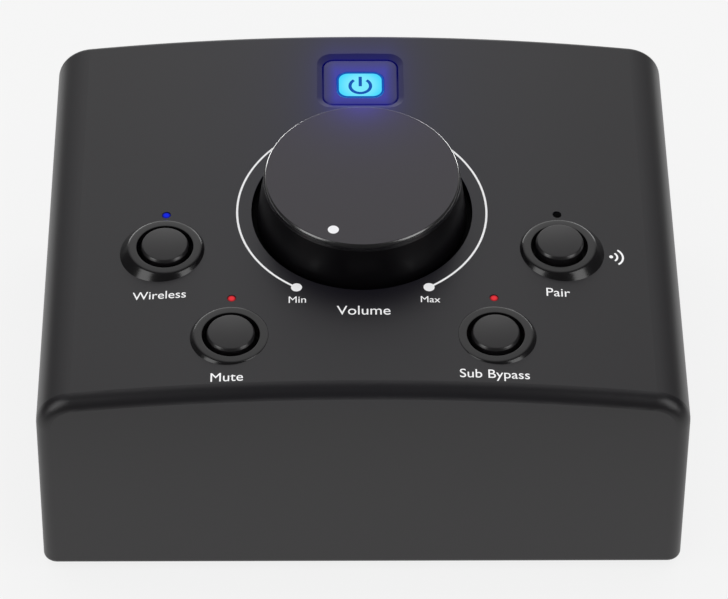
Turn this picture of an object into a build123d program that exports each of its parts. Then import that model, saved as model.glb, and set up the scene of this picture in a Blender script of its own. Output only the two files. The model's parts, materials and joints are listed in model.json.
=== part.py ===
from build123d import *

import os
from dataclasses import dataclass
from math import cos, radians, sin, tan

# Studio monitor controller. Millimetres, +Z up, origin at the centre of the footprint on the
# surface that it stands on. +X is to the user's right and +Y is away from the user.
# On the sloped panel, x runs across, v runs up the slope from the front edge, and w stands out
# along the panel's normal from the plane that touches the arch at its crest.

# ---- case ----
CASE_WIDTH = 141.0
CASE_DEPTH = 109.6
FRONT_HEIGHT = 52.5
PANEL_SLOPE = 5.0
ARCH_RADIUS = 552.0
SIDE_DRAFT = 0.5
WALL = 2.4
PANEL_THICKNESS = 2.5
SIDE_EDGE_RADIUS = 8.6
FRONT_EDGE_RADIUS = 3.1
REAR_EDGE_RADIUS = 1.0
BOTTOM_EDGE_RADIUS = 1.2
SHARP_RADIUS = 0.3

# ---- base, rear panel and what holds them ----
PLATE_THICKNESS = 2.0
PLATE_CLEARANCE = 0.25
FOOT_HEIGHT = 2.0
FOOT_RADIUS = 5.0
FOOT_SIDE_INSET = 12.0
FOOT_END_INSET = 10.0
BOSS_SIDE_INSET = 10.0
BOSS_SPREAD = 68.0
BOSS_RADIUS = 3.5
BOSS_RIB = 1.6
REAR_PLATE_THICKNESS = 1.6
REAR_PLATE_SIDE_GAP = 6.1
REAR_PLATE_HEIGHT = 46.0
REAR_FLANGE = 8.0
WINDOW_LAP = 4.0
REAR_SCREW_SPREAD = 92.0

# ---- screws ----
SCREW_RADIUS = 1.25
SCREW_GRIP = 6.0
SCREW_HEAD_RADIUS = 2.5
SCREW_HEAD_HEIGHT = 1.2
THREAD_CLEARANCE = 0.05

# ---- boards ----
BOARD_THICKNESS = 1.6
CONTROL_BOARD_DEPTH = 15.0
CONTROL_BOARD_SIDE_GAP = 4.0
CONTROL_BOARD_FRONT = 8.0
CONTROL_BOARD_REAR_GAP = 0.6
CONTROL_POST_INSET = 5.5
CONTROL_POST_RADIUS = 3.0
STANDOFF_HEIGHT = 4.0
STANDOFF_RADIUS = 2.6
STANDOFF_SIDE_INSET = 6.0
STANDOFF_SPREAD_Y = 46.0
MAIN_BOARD_SIDE_GAP = 2.0
MAIN_BOARD_LENGTH = 80.0
MAIN_BOARD_REAR_GAP = 1.6

# ---- where the controls stand on the panel ----
KNOB_FORWARD = 1.38
SIDE_BUTTON_X = 43.3
SIDE_BUTTON_DROP = 11.15
FRONT_BUTTON_X = 28.45
FRONT_BUTTON_INSET = 16.25
INDICATOR_RISE = 10.92
POWER_REAR_INSET = 15.2

# ---- volume knob ----
KNOB_HEIGHT = 10.8
KNOB_TOP_RADIUS = 21.5
KNOB_BASE_RADIUS = 23.0
KNOB_CAP_THICKNESS = 1.6
KNOB_CAP_BEVEL = 0.75
KNOB_WALL = 2.0
KNOB_SKIRT_BELOW = 2.4
KNOB_HUB_RADIUS = 5.5
KNOB_HUB_LIFT = 0.6
KNOB_RIB_COUNT = 6
KNOB_RIB_THICKNESS = 1.2
KNOB_RIB_RISE = 3.0
WELL_RADIUS = 24.5
WELL_DEPTH = 3.4
WELL_FLOOR = 2.0
POINTER_RADIUS = 1.2
POINTER_DISTANCE = 17.9
POINTER_DEPTH = 0.5
POINTER_ANGLE = 20.9

# ---- potentiometer ----
SHAFT_RADIUS = 3.0
SHAFT_FLAT = 1.5
SHAFT_REACH = 6.4
RUNNING_CLEARANCE = 0.05
BUSHING_RADIUS = 3.5
BUSHING_HOLE_CLEARANCE = 0.1
BUSHING_HEIGHT = 0.0
POT_WIDTH = 17.0
POT_WALL = 1.4
TRACK_INNER = 4.2
TRACK_OUTER = 6.6
TRACK_THICKNESS = 0.5
WIPER_RADIUS = 6.4
WIPER_THICKNESS = 1.2
WIPER_GAP = 0.3
WIPER_PAD_RADIUS = 0.8
LUG_ANGLE = 230.0
TRAVEL = 300.0
STOP_PLAY = 0.5
STOP_LENGTH = 1.4
STOP_HEIGHT = 1.5
SHAFT_COLLAR_RADIUS = 3.8
WASHER_RADIUS = 6.0
WASHER_THICKNESS = 0.5
NUT_ACROSS_FLATS = 10.0
NUT_THICKNESS = 2.0

# ---- round push buttons ----
BUTTON_CAP_RADIUS = 5.25
BUTTON_HOLE_RADIUS = 6.22
BUTTON_EDGE_RADIUS = 0.6
BUTTON_OUT_HEIGHT = 1.95
BUTTON_LATCH_DEPTH = 0.85
PRESS_TRAVEL = 1.4
BUTTON_BODY_BELOW = 5.9
BUTTON_FLANGE_RADIUS = 6.9
BUTTON_FLANGE_THICKNESS = 0.8
COLLAR_RING_RADIUS = 8.0
COLLAR_RING_DEPTH = 0.3
COLLAR_FLARE = 0.85
COLLAR_TUBE_RADIUS = 7.4
COLLAR_TUBE_DEPTH = 5.2
PLUNGER_RADIUS = 1.6
PLUNGER_SOCKET = 2.5
SWITCH_WIDTH = 7.5
SWITCH_HEIGHT = 5.0
SWITCH_FLOOR = 0.6
SPRING_COIL_RADIUS = 3.0
SPRING_WIRE_RADIUS = 0.22
SPRING_TURNS = 3.5
SPRING_SEAT = 0.03

# ---- indicators ----
LIGHT_PIPE_RADIUS = 0.95
LIGHT_PIPE_CLEARANCE = 0.05
LIGHT_PIPE_COLLAR = 1.7
LIGHT_PIPE_COLLAR_THICKNESS = 0.6
STATUS_LIGHT_WIDTH = 2.0
STATUS_LIGHT_HEIGHT = 1.2
LIGHT_GAP = 0.2

# ---- power button ----
POWER_WIDTH = 17.0
POWER_LENGTH = 14.6
POWER_CORNER = 2.5
POWER_CLEARANCE = 0.25
POWER_DEPTH = 0.65
DISH_MARGIN = 1.35
WINDOW_WIDTH = 10.8
WINDOW_LENGTH = 8.4
WINDOW_CORNER = 2.6
WINDOW_SHIFT = 0.8
LENS_THICKNESS = 1.6
LIGHT_GUIDE_WALL = 1.0
POWER_FLANGE = 1.0
POWER_FLANGE_THICKNESS = 0.8
POWER_FLANGE_GAP = 0.3
POWER_PLUNGER_SHIFT = 5.3

# ---- jacks along the rear panel ----
JACK_COUNT = 5
JACK_TO_INLET = 13.5
JACK_TO_MINI = 13.5
JACK_BORE_RADIUS = 3.2
JACK_BODY_WIDTH = 13.0
JACK_BODY_HEIGHT = 14.0
JACK_BODY_DEPTH = 24.0
JACK_THREAD_RADIUS = 4.7
JACK_NUT_FLATS = 11.2
JACK_WASHER_RADIUS = 6.5
MINI_PITCH = 9.5
MINI_END_INSET = 9.0
MINI_BORE_RADIUS = 1.8
MINI_BODY_WIDTH = 8.0
MINI_BODY_HEIGHT = 9.0
MINI_BODY_DEPTH = 14.0
MINI_THREAD_RADIUS = 3.0
MINI_NUT_FLATS = 7.4
MINI_WASHER_RADIUS = 4.3
JACK_WASHER = 0.5
JACK_NUT = 1.6
JACK_THREAD_SPARE = 0.3
JACK_BACK_WALL = 2.0
LEAF_WIDTH = 1.6
LEAF_THICKNESS = 0.4
LEAF_LENGTH = 5.0
LEAF_REACH = 2.2
LEAF_LIFT = 0.1
INLET_END_INSET = 10.5
INLET_BORE_RADIUS = 2.85
INLET_PIN_RADIUS = 1.05
INLET_NOSE_RADIUS = 4.2
INLET_WIDTH = 9.4
INLET_HEIGHT = 12.0
INLET_DEPTH = 13.0
INLET_BORE_DEPTH = 9.0
INLET_PIN_RECESS = 1.0

# ---- parts on the boards ----
HEADER_LENGTH = 22.0
HEADER_WIDTH = 5.0
HEADER_HEIGHT = 5.0
RIBBON_WIDTH = 18.0
RIBBON_THICKNESS = 0.9
RIBBON_LEAD = 4.0
RIBBON_BEND = 1.8
RIBBON_STEP = 6.0
CAPACITOR_RADIUS = 4.0
CAPACITOR_HEIGHT = 11.0
CAPACITOR_COUNT = 6
CAPACITOR_PITCH = 10.0
CHIP_WIDTH = 5.0
CHIP_LENGTH = 6.0
CHIP_HEIGHT = 1.6
CHIP_COUNT = 5
RELAY_GAP = 4.0
RELAY_WIDTH = 10.0
RELAY_LENGTH = 15.0
RELAY_HEIGHT = 9.0
RADIO_WIDTH = 16.0
RADIO_LENGTH = 24.0
RADIO_THICKNESS = 1.0
RADIO_CAN_HEIGHT = 2.2
RADIO_ANTENNA_LENGTH = 6.0


@dataclass(frozen=True)
class Button:
    """A round push button: its centre on the panel and whether it is latched in at rest."""

    x: float
    v: float
    latched: bool


# ---- places that follow from the sizes above ----
LEAN = radians(PANEL_SLOPE)
DRAFT = tan(radians(SIDE_DRAFT))
SHELL_BOTTOM = FOOT_HEIGHT
PLATE_TOP = SHELL_BOTTOM + PLATE_THICKNESS
FRONT_TOP_Y = -CASE_DEPTH / 2 + DRAFT * FRONT_HEIGHT
FRONT_TOP_Z = SHELL_BOTTOM + FRONT_HEIGHT
UPSLOPE = Vector(0, cos(LEAN), sin(LEAN))
NORMAL = Vector(0, -sin(LEAN), cos(LEAN))
PANEL = Plane(origin=(0, FRONT_TOP_Y, FRONT_TOP_Z), x_dir=(1, 0, 0), z_dir=NORMAL)
PANEL_LENGTH = (CASE_DEPTH / 2 - FRONT_TOP_Y) / cos(LEAN)
KNOB_V = PANEL_LENGTH / 2 - KNOB_FORWARD
POWER_V = PANEL_LENGTH - POWER_REAR_INSET
SIDE_BUTTON_V = KNOB_V - SIDE_BUTTON_DROP
BUTTONS = {
    "wireless": Button(-SIDE_BUTTON_X, SIDE_BUTTON_V, True),
    "pair": Button(SIDE_BUTTON_X, SIDE_BUTTON_V, False),
    "mute": Button(-FRONT_BUTTON_X, FRONT_BUTTON_INSET, True),
    "sub_bypass": Button(FRONT_BUTTON_X, FRONT_BUTTON_INSET, True),
}
OUTPUT_BUTTONS = ("mute", "sub_bypass")
REAR_INNER_Y = CASE_DEPTH / 2 - WALL
REAR_PLATE_Y = REAR_INNER_Y - REAR_PLATE_THICKNESS
REAR_PLATE_WIDTH = CASE_WIDTH - 2 * (WALL + REAR_PLATE_SIDE_GAP)
BOSS_X = CASE_WIDTH / 2 - BOSS_SIDE_INSET
BOARD_TOP = -CONTROL_BOARD_DEPTH
BOARD_BOTTOM = BOARD_TOP - BOARD_THICKNESS
SWITCH_TOP = BOARD_TOP + SWITCH_HEIGHT
CONTROL_BOARD_WIDTH = 2 * (BOSS_X - BOSS_RADIUS - CONTROL_BOARD_SIDE_GAP)
CONTROL_BOARD_REACH = REAR_PLATE_Y - CONTROL_BOARD_REAR_GAP - FRONT_TOP_Y + BOARD_BOTTOM * sin(LEAN)
CONTROL_BOARD_LENGTH = CONTROL_BOARD_REACH / cos(LEAN) - CONTROL_BOARD_FRONT
MAIN_BOARD_WIDTH = 2 * (BOSS_X - BOSS_RADIUS - MAIN_BOARD_SIDE_GAP)
MAIN_BOARD_Z = PLATE_TOP + STANDOFF_HEIGHT
MAIN_BOARD_TOP = MAIN_BOARD_Z + BOARD_THICKNESS
MAIN_BOARD_REAR = REAR_PLATE_Y - MAIN_BOARD_REAR_GAP
MAIN_BOARD_MID_Y = MAIN_BOARD_REAR - MAIN_BOARD_LENGTH / 2
WELL_UNDERSIDE = -WELL_DEPTH - WELL_FLOOR
INLET_X = REAR_PLATE_WIDTH / 2 - INLET_END_INSET
MINI_LAST_X = MINI_END_INSET - REAR_PLATE_WIDTH / 2
MINI_XS = [MINI_LAST_X + MINI_PITCH, MINI_LAST_X]
JACK_FIRST_X = INLET_X - JACK_TO_INLET
JACK_PITCH = (JACK_FIRST_X - MINI_XS[0] - JACK_TO_MINI) / (JACK_COUNT - 1)
JACK_XS = [JACK_FIRST_X - JACK_PITCH * i for i in range(JACK_COUNT)]
UP = (Align.CENTER, Align.CENTER, Align.MIN)


# ---- helpers ----
def on_panel(x: float, v: float, w: float = 0.0) -> Location:
    """Place on the sloped panel, with local Z along the panel's normal."""
    return PANEL.location * Pos(x, v, w)


def rod(radius: float, low: float, high: float):
    """Cylinder about local Z between two heights."""
    return Pos(0, 0, low) * Cylinder(radius, high - low, align=UP)


def tube(outer: float, inner: float, low: float, high: float):
    """Ring about local Z between two heights."""
    return rod(outer, low, high) - rod(inner, low, high)


def cone(low_radius: float, high_radius: float, low: float, high: float):
    """Cone frustum about local Z between two heights."""
    return Pos(0, 0, low) * Cone(low_radius, high_radius, high - low, align=UP)


def slab(width: float, length: float, low: float, high: float):
    """Box centred on local Z between two heights."""
    return Pos(0, 0, low) * Box(width, length, high - low, align=UP)


def rounded_slab(width: float, length: float, corner: float, low: float, high: float):
    """Box with rounded corners, centred on local Z, between two heights."""
    return Pos(0, 0, low) * extrude(RectangleRounded(width, length, corner), high - low)


def hexagon(across_flats: float, low: float, high: float):
    """Hexagonal prism about local Z between two heights."""
    outline = RegularPolygon(across_flats / 2, 6, major_radius=False)
    return Pos(0, 0, low) * extrude(outline, high - low)


def corners(spread_x: float, spread_y: float, mid_y: float = 0.0) -> list:
    """The four corners of a rectangle centred on x = 0."""
    half_x, half_y = spread_x / 2, spread_y / 2
    return [(sx * half_x, mid_y + sy * half_y) for sx in (-1, 1) for sy in (-1, 1)]


def arch_drop(x: float) -> float:
    """How far the arched panel lies below its crest plane at x."""
    return ARCH_RADIUS - (ARCH_RADIUS**2 - x**2) ** 0.5


def panel_z(x: float, y: float) -> float:
    """Height of the panel's outer surface above a point of the footprint."""
    return FRONT_TOP_Z + (y - FRONT_TOP_Y) * tan(LEAN) - arch_drop(x) / cos(LEAN)


def group(pieces) -> Compound:
    """Several separate solids in one node."""
    return Compound([solid for piece in pieces for solid in piece.solids()])


# ---- case ----
def edge_radius(radius: float, inset: float) -> float:
    """Radius of a rounded edge once the faces beside it are moved in by inset."""
    return max(radius - inset, SHARP_RADIUS)


def cross_section(inset: float, depth: float):
    """Section across the slope: leaning sides, arched top and rounded shoulders."""

    def half(height: float) -> float:
        return CASE_WIDTH / 2 - inset - DRAFT * (FRONT_HEIGHT + height)

    low, high = -2 * FRONT_HEIGHT, FRONT_HEIGHT
    base = [(-half(low), low), (half(low), low), (half(high), high), (-half(high), high)]
    top = Pos(0, -ARCH_RADIUS) * Circle(ARCH_RADIUS - depth)
    outline = Polygon(*base, align=None) & top
    shoulders = outline.vertices().group_by(Axis.Y)[-1]
    return fillet(shoulders, edge_radius(SIDE_EDGE_RADIUS, inset))


def case_form(inset: float, depth: float, low: float):
    """The case's form above height low, moved in by inset at its walls and by depth at its top."""

    def front(z: float) -> float:
        return inset - CASE_DEPTH / 2 + DRAFT * (z - SHELL_BOTTOM)

    across = Plane(origin=PANEL.origin, x_dir=(1, 0, 0), z_dir=-UPSLOPE)
    body = extrude(across * cross_section(inset, depth), 2 * CASE_DEPTH, both=True)
    rear, high = CASE_DEPTH / 2 - inset, 2 * FRONT_TOP_Z
    side = Polygon((front(low), low), (rear, low), (rear, high), (front(high), high), align=None)
    body &= extrude(Plane.YZ * side, CASE_WIDTH, both=True)
    for end, radius in ((0, FRONT_EDGE_RADIUS), (-1, REAR_EDGE_RADIUS)):
        face = body.faces().sort_by(Axis.Y)[end]
        rim = face.edges().sort_by(Axis.Z)[1:]
        body = fillet(rim, edge_radius(radius, inset))
    return body


def case_outside():
    """The case's outer form with its lower rim rounded."""
    body = case_form(0, 0, SHELL_BOTTOM)
    return fillet(body.edges().group_by(Axis.Z)[0], BOTTOM_EDGE_RADIUS)


def arch():
    """Long cylinder whose surface is the panel's."""
    centre = PANEL.origin - NORMAL * ARCH_RADIUS + UPSLOPE * CASE_DEPTH / 2
    axis = Plane(origin=centre, x_dir=(1, 0, 0), z_dir=UPSLOPE)
    return axis * Cylinder(ARCH_RADIUS, 4 * CASE_DEPTH)


def boss_places() -> list:
    """Centres of the case screws, in plan."""
    return corners(2 * BOSS_X, BOSS_SPREAD)


def control_post_places() -> list:
    """Centres of the control board's screws on the panel."""
    inset = 2 * CONTROL_POST_INSET
    mid = CONTROL_BOARD_FRONT + CONTROL_BOARD_LENGTH / 2
    return corners(CONTROL_BOARD_WIDTH - inset, CONTROL_BOARD_LENGTH - inset, mid)


def case_boss(x: float, y: float):
    """Screw boss from the base plate up into the panel, with a rib to the side wall below its
    rounded shoulder.
    """
    top = panel_z(x, y) - PANEL_THICKNESS / 2 - arch_drop(BOSS_RADIUS)
    side = 1 if x > 0 else -1
    reach = CASE_WIDTH / 2 - WALL / 2 - DRAFT * FRONT_HEIGHT - abs(x)
    low = PLATE_TOP + SCREW_GRIP
    rib = Pos(x + side * reach / 2, y, 0) * slab(reach, BOSS_RIB, low, top - SIDE_EDGE_RADIUS)
    return Pos(x, y, 0) * rod(BOSS_RADIUS, PLATE_TOP, top) + rib


def make_upper_shell():
    """The one-piece moulding: arched panel, front, sides and rear rim."""
    shell = case_outside() - case_form(WALL, PANEL_THICKNESS, 0)
    for x, y in boss_places():
        shell += case_boss(x, y)
        shell -= Pos(x, y, 0) * rod(SCREW_RADIUS + THREAD_CLEARANCE, 0, PLATE_TOP + SCREW_GRIP)
    for x, v in control_post_places():
        root = -arch_drop(x) - PANEL_THICKNESS / 2
        shell += on_panel(x, v) * rod(CONTROL_POST_RADIUS, BOARD_TOP, root)
        hole = rod(SCREW_RADIUS + THREAD_CLEARANCE, BOARD_TOP, BOARD_TOP + SCREW_GRIP)
        shell -= on_panel(x, v) * hole
    knob = on_panel(0, KNOB_V)
    cup_top = -arch_drop(WELL_RADIUS) - PANEL_THICKNESS / 2
    shell += knob * rod(WELL_RADIUS + WALL, WELL_UNDERSIDE, cup_top)
    shell -= knob * rod(WELL_RADIUS, -WELL_DEPTH, KNOB_HEIGHT)
    shell -= knob * rod(BUSHING_RADIUS + BUSHING_HOLE_CLEARANCE, BOARD_TOP, KNOB_HEIGHT)
    for button in BUTTONS.values():
        shell -= on_panel(button.x, button.v) * rod(COLLAR_TUBE_RADIUS, BOARD_TOP, KNOB_HEIGHT)
        pipe_hole = rod(LIGHT_PIPE_RADIUS + LIGHT_PIPE_CLEARANCE, BOARD_TOP, KNOB_HEIGHT)
        shell -= on_panel(button.x, button.v + INDICATOR_RISE) * pipe_hole
    shell -= on_panel(0, POWER_V) * (power_dish() + power_hole())
    window = REAR_PLATE_WIDTH - 2 * WINDOW_LAP
    window_top = PLATE_TOP + REAR_PLATE_HEIGHT - WINDOW_LAP
    shell -= Pos(0, CASE_DEPTH / 2, 0) * slab(window, 3 * WALL, 0, window_top)
    return shell


def power_dish():
    """Shallow recess with sloping sides round the power button."""
    gap = 2 * POWER_CLEARANCE
    width, length = POWER_WIDTH + gap, POWER_LENGTH + gap
    rise = 1.5 * POWER_DEPTH
    grow = 2 * DISH_MARGIN * rise / POWER_DEPTH
    low = RectangleRounded(width, length, POWER_CORNER + POWER_CLEARANCE)
    corner = POWER_CORNER + POWER_CLEARANCE + grow / 4
    high = RectangleRounded(width + grow, length + grow, corner)
    return Pos(0, 0, -POWER_DEPTH) * loft([low, Pos(0, 0, rise) * high])


def power_hole():
    """The hole that the power button slides in."""
    gap = 2 * POWER_CLEARANCE
    corner = POWER_CORNER + POWER_CLEARANCE
    return rounded_slab(POWER_WIDTH + gap, POWER_LENGTH + gap, corner, BOARD_TOP, 0)


def make_base_plate():
    """Flat base plate inside the shell's lower rim."""
    plate = case_form(WALL + PLATE_CLEARANCE, PANEL_THICKNESS, SHELL_BOTTOM)
    plate &= slab(CASE_WIDTH, CASE_DEPTH, SHELL_BOTTOM, PLATE_TOP)
    for x, y in boss_places() + rear_screw_places():
        plate -= Pos(x, y, 0) * rod(SCREW_RADIUS + THREAD_CLEARANCE, 0, PLATE_TOP)
        plate -= Pos(x, y, 0) * rod(SCREW_HEAD_RADIUS + PLATE_CLEARANCE, 0, head_seat())
    return plate


def head_seat() -> float:
    """Height of the face that a base screw's head bears on."""
    return SHELL_BOTTOM + SCREW_HEAD_HEIGHT


def make_rubber_feet() -> Compound:
    """Four round feet under the base plate."""
    spread_x = CASE_WIDTH - 2 * FOOT_SIDE_INSET
    spread_y = CASE_DEPTH - 2 * FOOT_END_INSET
    foot = cone(FOOT_RADIUS - FOOT_HEIGHT / 4, FOOT_RADIUS, 0, FOOT_HEIGHT)
    return group(Pos(x, y, 0) * foot for x, y in corners(spread_x, spread_y))


def screw(head_face: float, tip: float):
    """Pan-head screw about local Z: its head lies below head_face, its shank reaches tip."""
    return rod(SCREW_RADIUS, head_face, tip) + rod(
        SCREW_HEAD_RADIUS, head_face - SCREW_HEAD_HEIGHT, head_face
    )


def make_case_screws() -> Compound:
    """Screws up through the base plate into the shell's bosses."""
    tip = PLATE_TOP + SCREW_GRIP - THREAD_CLEARANCE
    return group(Pos(x, y, 0) * screw(head_seat(), tip) for x, y in boss_places())


# ---- rear panel ----
def rear_screw_places() -> list:
    """Centres of the rear panel's screws, in plan."""
    y = REAR_PLATE_Y - REAR_FLANGE / 2
    return [(-REAR_SCREW_SPREAD / 2, y), (REAR_SCREW_SPREAD / 2, y)]


def jack_z(body_height: float) -> float:
    """Axis height of a connector whose body stands on the main board."""
    return MAIN_BOARD_TOP + body_height / 2


def rearward(x: float, z: float) -> Location:
    """Place on the rear panel's inner face, with local Z pointing out of the back."""
    face = Plane(origin=(x, REAR_PLATE_Y, z), x_dir=(-1, 0, 0), z_dir=(0, 1, 0))
    return face.location


def make_rear_panel():
    """Rear panel with a flange that lies on the base plate."""
    y = REAR_PLATE_Y + REAR_PLATE_THICKNESS / 2
    top = PLATE_TOP + REAR_PLATE_HEIGHT
    panel = Pos(0, y, 0) * slab(REAR_PLATE_WIDTH, REAR_PLATE_THICKNESS, PLATE_TOP, top)
    flange_width = REAR_SCREW_SPREAD + 4 * SCREW_HEAD_RADIUS
    flange = slab(flange_width, REAR_FLANGE, PLATE_TOP, PLATE_TOP + REAR_PLATE_THICKNESS)
    panel += Pos(0, REAR_PLATE_Y - REAR_FLANGE / 2, 0) * flange
    for x, y in rear_screw_places():
        panel -= Pos(x, y, 0) * rod(SCREW_RADIUS + THREAD_CLEARANCE, 0, MAIN_BOARD_Z)
    cut = 2 * REAR_PLATE_THICKNESS
    for x in JACK_XS:
        hole = rod(JACK_THREAD_RADIUS + PLATE_CLEARANCE, 0, cut)
        panel -= rearward(x, jack_z(JACK_BODY_HEIGHT)) * hole
    for x in MINI_XS:
        hole = rod(MINI_THREAD_RADIUS + PLATE_CLEARANCE, 0, cut)
        panel -= rearward(x, jack_z(MINI_BODY_HEIGHT)) * hole
    hole = rod(INLET_NOSE_RADIUS + PLATE_CLEARANCE, 0, cut)
    return panel - rearward(INLET_X, jack_z(INLET_HEIGHT)) * hole


def make_rear_screws() -> Compound:
    """Screws up through the base plate into the rear panel's flange."""
    tip = PLATE_TOP + REAR_PLATE_THICKNESS
    return group(Pos(x, y, 0) * screw(head_seat(), tip) for x, y in rear_screw_places())


# ---- jacks ----
def nose_length() -> float:
    """How far a jack's thread stands out of the rear panel's inner face."""
    return REAR_PLATE_THICKNESS + JACK_WASHER + JACK_NUT + JACK_THREAD_SPARE


def jack_body(width: float, height: float, depth: float, thread: float, bore: float):
    """Panel jack: a block behind the panel, a threaded nose through it and a blind bore."""
    body = slab(width, height, -depth, 0) + rod(thread, 0, nose_length())
    return body - rod(bore, JACK_BACK_WALL - depth, nose_length())


def leaf_places() -> list:
    """Depths of the two contact leaves in a large jack."""
    inner = JACK_BACK_WALL - JACK_BODY_DEPTH + LEAF_LENGTH / 2
    return [inner, inner + JACK_BODY_DEPTH / 2 - LEAF_LENGTH / 4]


def leaf_slot(depth: float):
    """Slot over the bore that holds one contact leaf."""
    low, high = depth - LEAF_LENGTH / 2, depth + LEAF_LENGTH / 2
    return Pos(0, (JACK_BORE_RADIUS + LEAF_REACH) / 2, 0) * slab(
        LEAF_WIDTH, JACK_BORE_RADIUS + LEAF_REACH, low, high
    )


def contact_leaf(depth: float):
    """Contact leaf: a strip beside the bore with a stem up to the slot's roof."""
    low, high = depth - LEAF_LENGTH / 2, depth + LEAF_LENGTH / 2
    base = JACK_BORE_RADIUS + LEAF_LIFT
    strip = Pos(0, base + LEAF_THICKNESS / 2, 0) * slab(LEAF_WIDTH, LEAF_THICKNESS, low, high)
    stem_height = LEAF_REACH - LEAF_LIFT
    stem = slab(LEAF_WIDTH, stem_height, low, low + LEAF_THICKNESS)
    return strip + Pos(0, base + stem_height / 2, 0) * stem


def make_large_jack(x: float):
    """One 6.35 mm jack."""
    body = jack_body(
        JACK_BODY_WIDTH, JACK_BODY_HEIGHT, JACK_BODY_DEPTH, JACK_THREAD_RADIUS, JACK_BORE_RADIUS
    )
    for depth in leaf_places():
        body -= leaf_slot(depth)
    return rearward(x, jack_z(JACK_BODY_HEIGHT)) * body


def make_mini_jack(x: float):
    """One 3.5 mm jack."""
    body = jack_body(
        MINI_BODY_WIDTH, MINI_BODY_HEIGHT, MINI_BODY_DEPTH, MINI_THREAD_RADIUS, MINI_BORE_RADIUS
    )
    return rearward(x, jack_z(MINI_BODY_HEIGHT)) * body


def make_jack_contacts() -> Compound:
    """Contact leaves of the large jacks."""
    height = jack_z(JACK_BODY_HEIGHT)
    return group(rearward(x, height) * contact_leaf(d) for x in JACK_XS for d in leaf_places())


def make_jack_washers() -> Compound:
    """Washers under all the jack nuts."""
    low, high = REAR_PLATE_THICKNESS, REAR_PLATE_THICKNESS + JACK_WASHER
    large = tube(JACK_WASHER_RADIUS, JACK_THREAD_RADIUS, low, high)
    small = tube(MINI_WASHER_RADIUS, MINI_THREAD_RADIUS, low, high)
    pieces = [rearward(x, jack_z(JACK_BODY_HEIGHT)) * large for x in JACK_XS]
    pieces += [rearward(x, jack_z(MINI_BODY_HEIGHT)) * small for x in MINI_XS]
    return group(pieces)


def make_jack_nuts() -> Compound:
    """Nuts that hold all the jacks to the rear panel."""
    low = REAR_PLATE_THICKNESS + JACK_WASHER
    high = low + JACK_NUT
    large = hexagon(JACK_NUT_FLATS, low, high) - rod(JACK_THREAD_RADIUS, low, high)
    small = hexagon(MINI_NUT_FLATS, low, high) - rod(MINI_THREAD_RADIUS, low, high)
    pieces = [rearward(x, jack_z(JACK_BODY_HEIGHT)) * large for x in JACK_XS]
    pieces += [rearward(x, jack_z(MINI_BODY_HEIGHT)) * small for x in MINI_XS]
    return group(pieces)


def inlet_nose() -> float:
    """How far the power inlet's nose stands out of the rear panel's inner face."""
    return REAR_PLATE_THICKNESS + JACK_WASHER


def make_power_inlet():
    """Barrel power inlet, without its pin."""
    body = slab(INLET_WIDTH, INLET_HEIGHT, -INLET_DEPTH, 0)
    body += rod(INLET_NOSE_RADIUS, 0, inlet_nose())
    body -= rod(INLET_BORE_RADIUS, inlet_nose() - INLET_BORE_DEPTH, inlet_nose())
    return rearward(INLET_X, jack_z(INLET_HEIGHT)) * body


def make_power_inlet_pin():
    """Centre pin of the power inlet."""
    low, high = inlet_nose() - INLET_BORE_DEPTH, inlet_nose() - INLET_PIN_RECESS
    return rearward(INLET_X, jack_z(INLET_HEIGHT)) * rod(INLET_PIN_RADIUS, low, high)


# ---- boards ----
def standoff_places() -> list:
    """Centres of the main board's standoffs, in plan."""
    mid = MAIN_BOARD_MID_Y - (MAIN_BOARD_LENGTH - STANDOFF_SPREAD_Y) / 2 + STANDOFF_RADIUS * 2
    return corners(MAIN_BOARD_WIDTH - 2 * STANDOFF_SIDE_INSET, STANDOFF_SPREAD_Y, mid)


def make_main_board():
    """Main circuit board on its standoffs."""
    board = slab(MAIN_BOARD_WIDTH, MAIN_BOARD_LENGTH, MAIN_BOARD_Z, MAIN_BOARD_TOP)
    board = Pos(0, MAIN_BOARD_MID_Y, 0) * board
    for x, y in standoff_places():
        board -= Pos(x, y, 0) * rod(SCREW_RADIUS + THREAD_CLEARANCE, 0, MAIN_BOARD_TOP)
    return board


def make_board_standoffs() -> Compound:
    """Threaded spacers between the base plate and the main board."""
    spacer = tube(STANDOFF_RADIUS, SCREW_RADIUS + THREAD_CLEARANCE, PLATE_TOP, MAIN_BOARD_Z)
    return group(Pos(x, y, 0) * spacer for x, y in standoff_places())


def make_main_board_screws() -> Compound:
    """Screws down through the main board into the standoffs."""
    shank = rod(SCREW_RADIUS, PLATE_TOP, MAIN_BOARD_TOP)
    head = rod(SCREW_HEAD_RADIUS, MAIN_BOARD_TOP, MAIN_BOARD_TOP + SCREW_HEAD_HEIGHT)
    return group(Pos(x, y, 0) * (shank + head) for x, y in standoff_places())


def make_control_board():
    """Circuit board under the panel, which carries the controls."""
    mid = CONTROL_BOARD_FRONT + CONTROL_BOARD_LENGTH / 2
    board = slab(CONTROL_BOARD_WIDTH, CONTROL_BOARD_LENGTH, BOARD_BOTTOM, BOARD_TOP)
    board = on_panel(0, mid) * board
    for x, v in control_post_places():
        board -= on_panel(x, v) * rod(SCREW_RADIUS + THREAD_CLEARANCE, BOARD_BOTTOM, BOARD_TOP)
    return board


def make_control_board_screws() -> Compound:
    """Screws up through the control board into the shell's posts."""
    tip = BOARD_TOP + SCREW_GRIP - THREAD_CLEARANCE
    return group(on_panel(x, v) * screw(BOARD_BOTTOM, tip) for x, v in control_post_places())


# ---- volume knob and potentiometer ----
def knob_place() -> Location:
    """Knob axis, turned so that local -Y points along the pointer at rest."""
    return on_panel(0, KNOB_V) * Rot(0, 0, -POINTER_ANGLE)


def knob_radius(w: float) -> float:
    """Outer radius of the knob's leaning side at height w."""
    return KNOB_BASE_RADIUS + (KNOB_TOP_RADIUS - KNOB_BASE_RADIUS) * w / KNOB_HEIGHT


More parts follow.
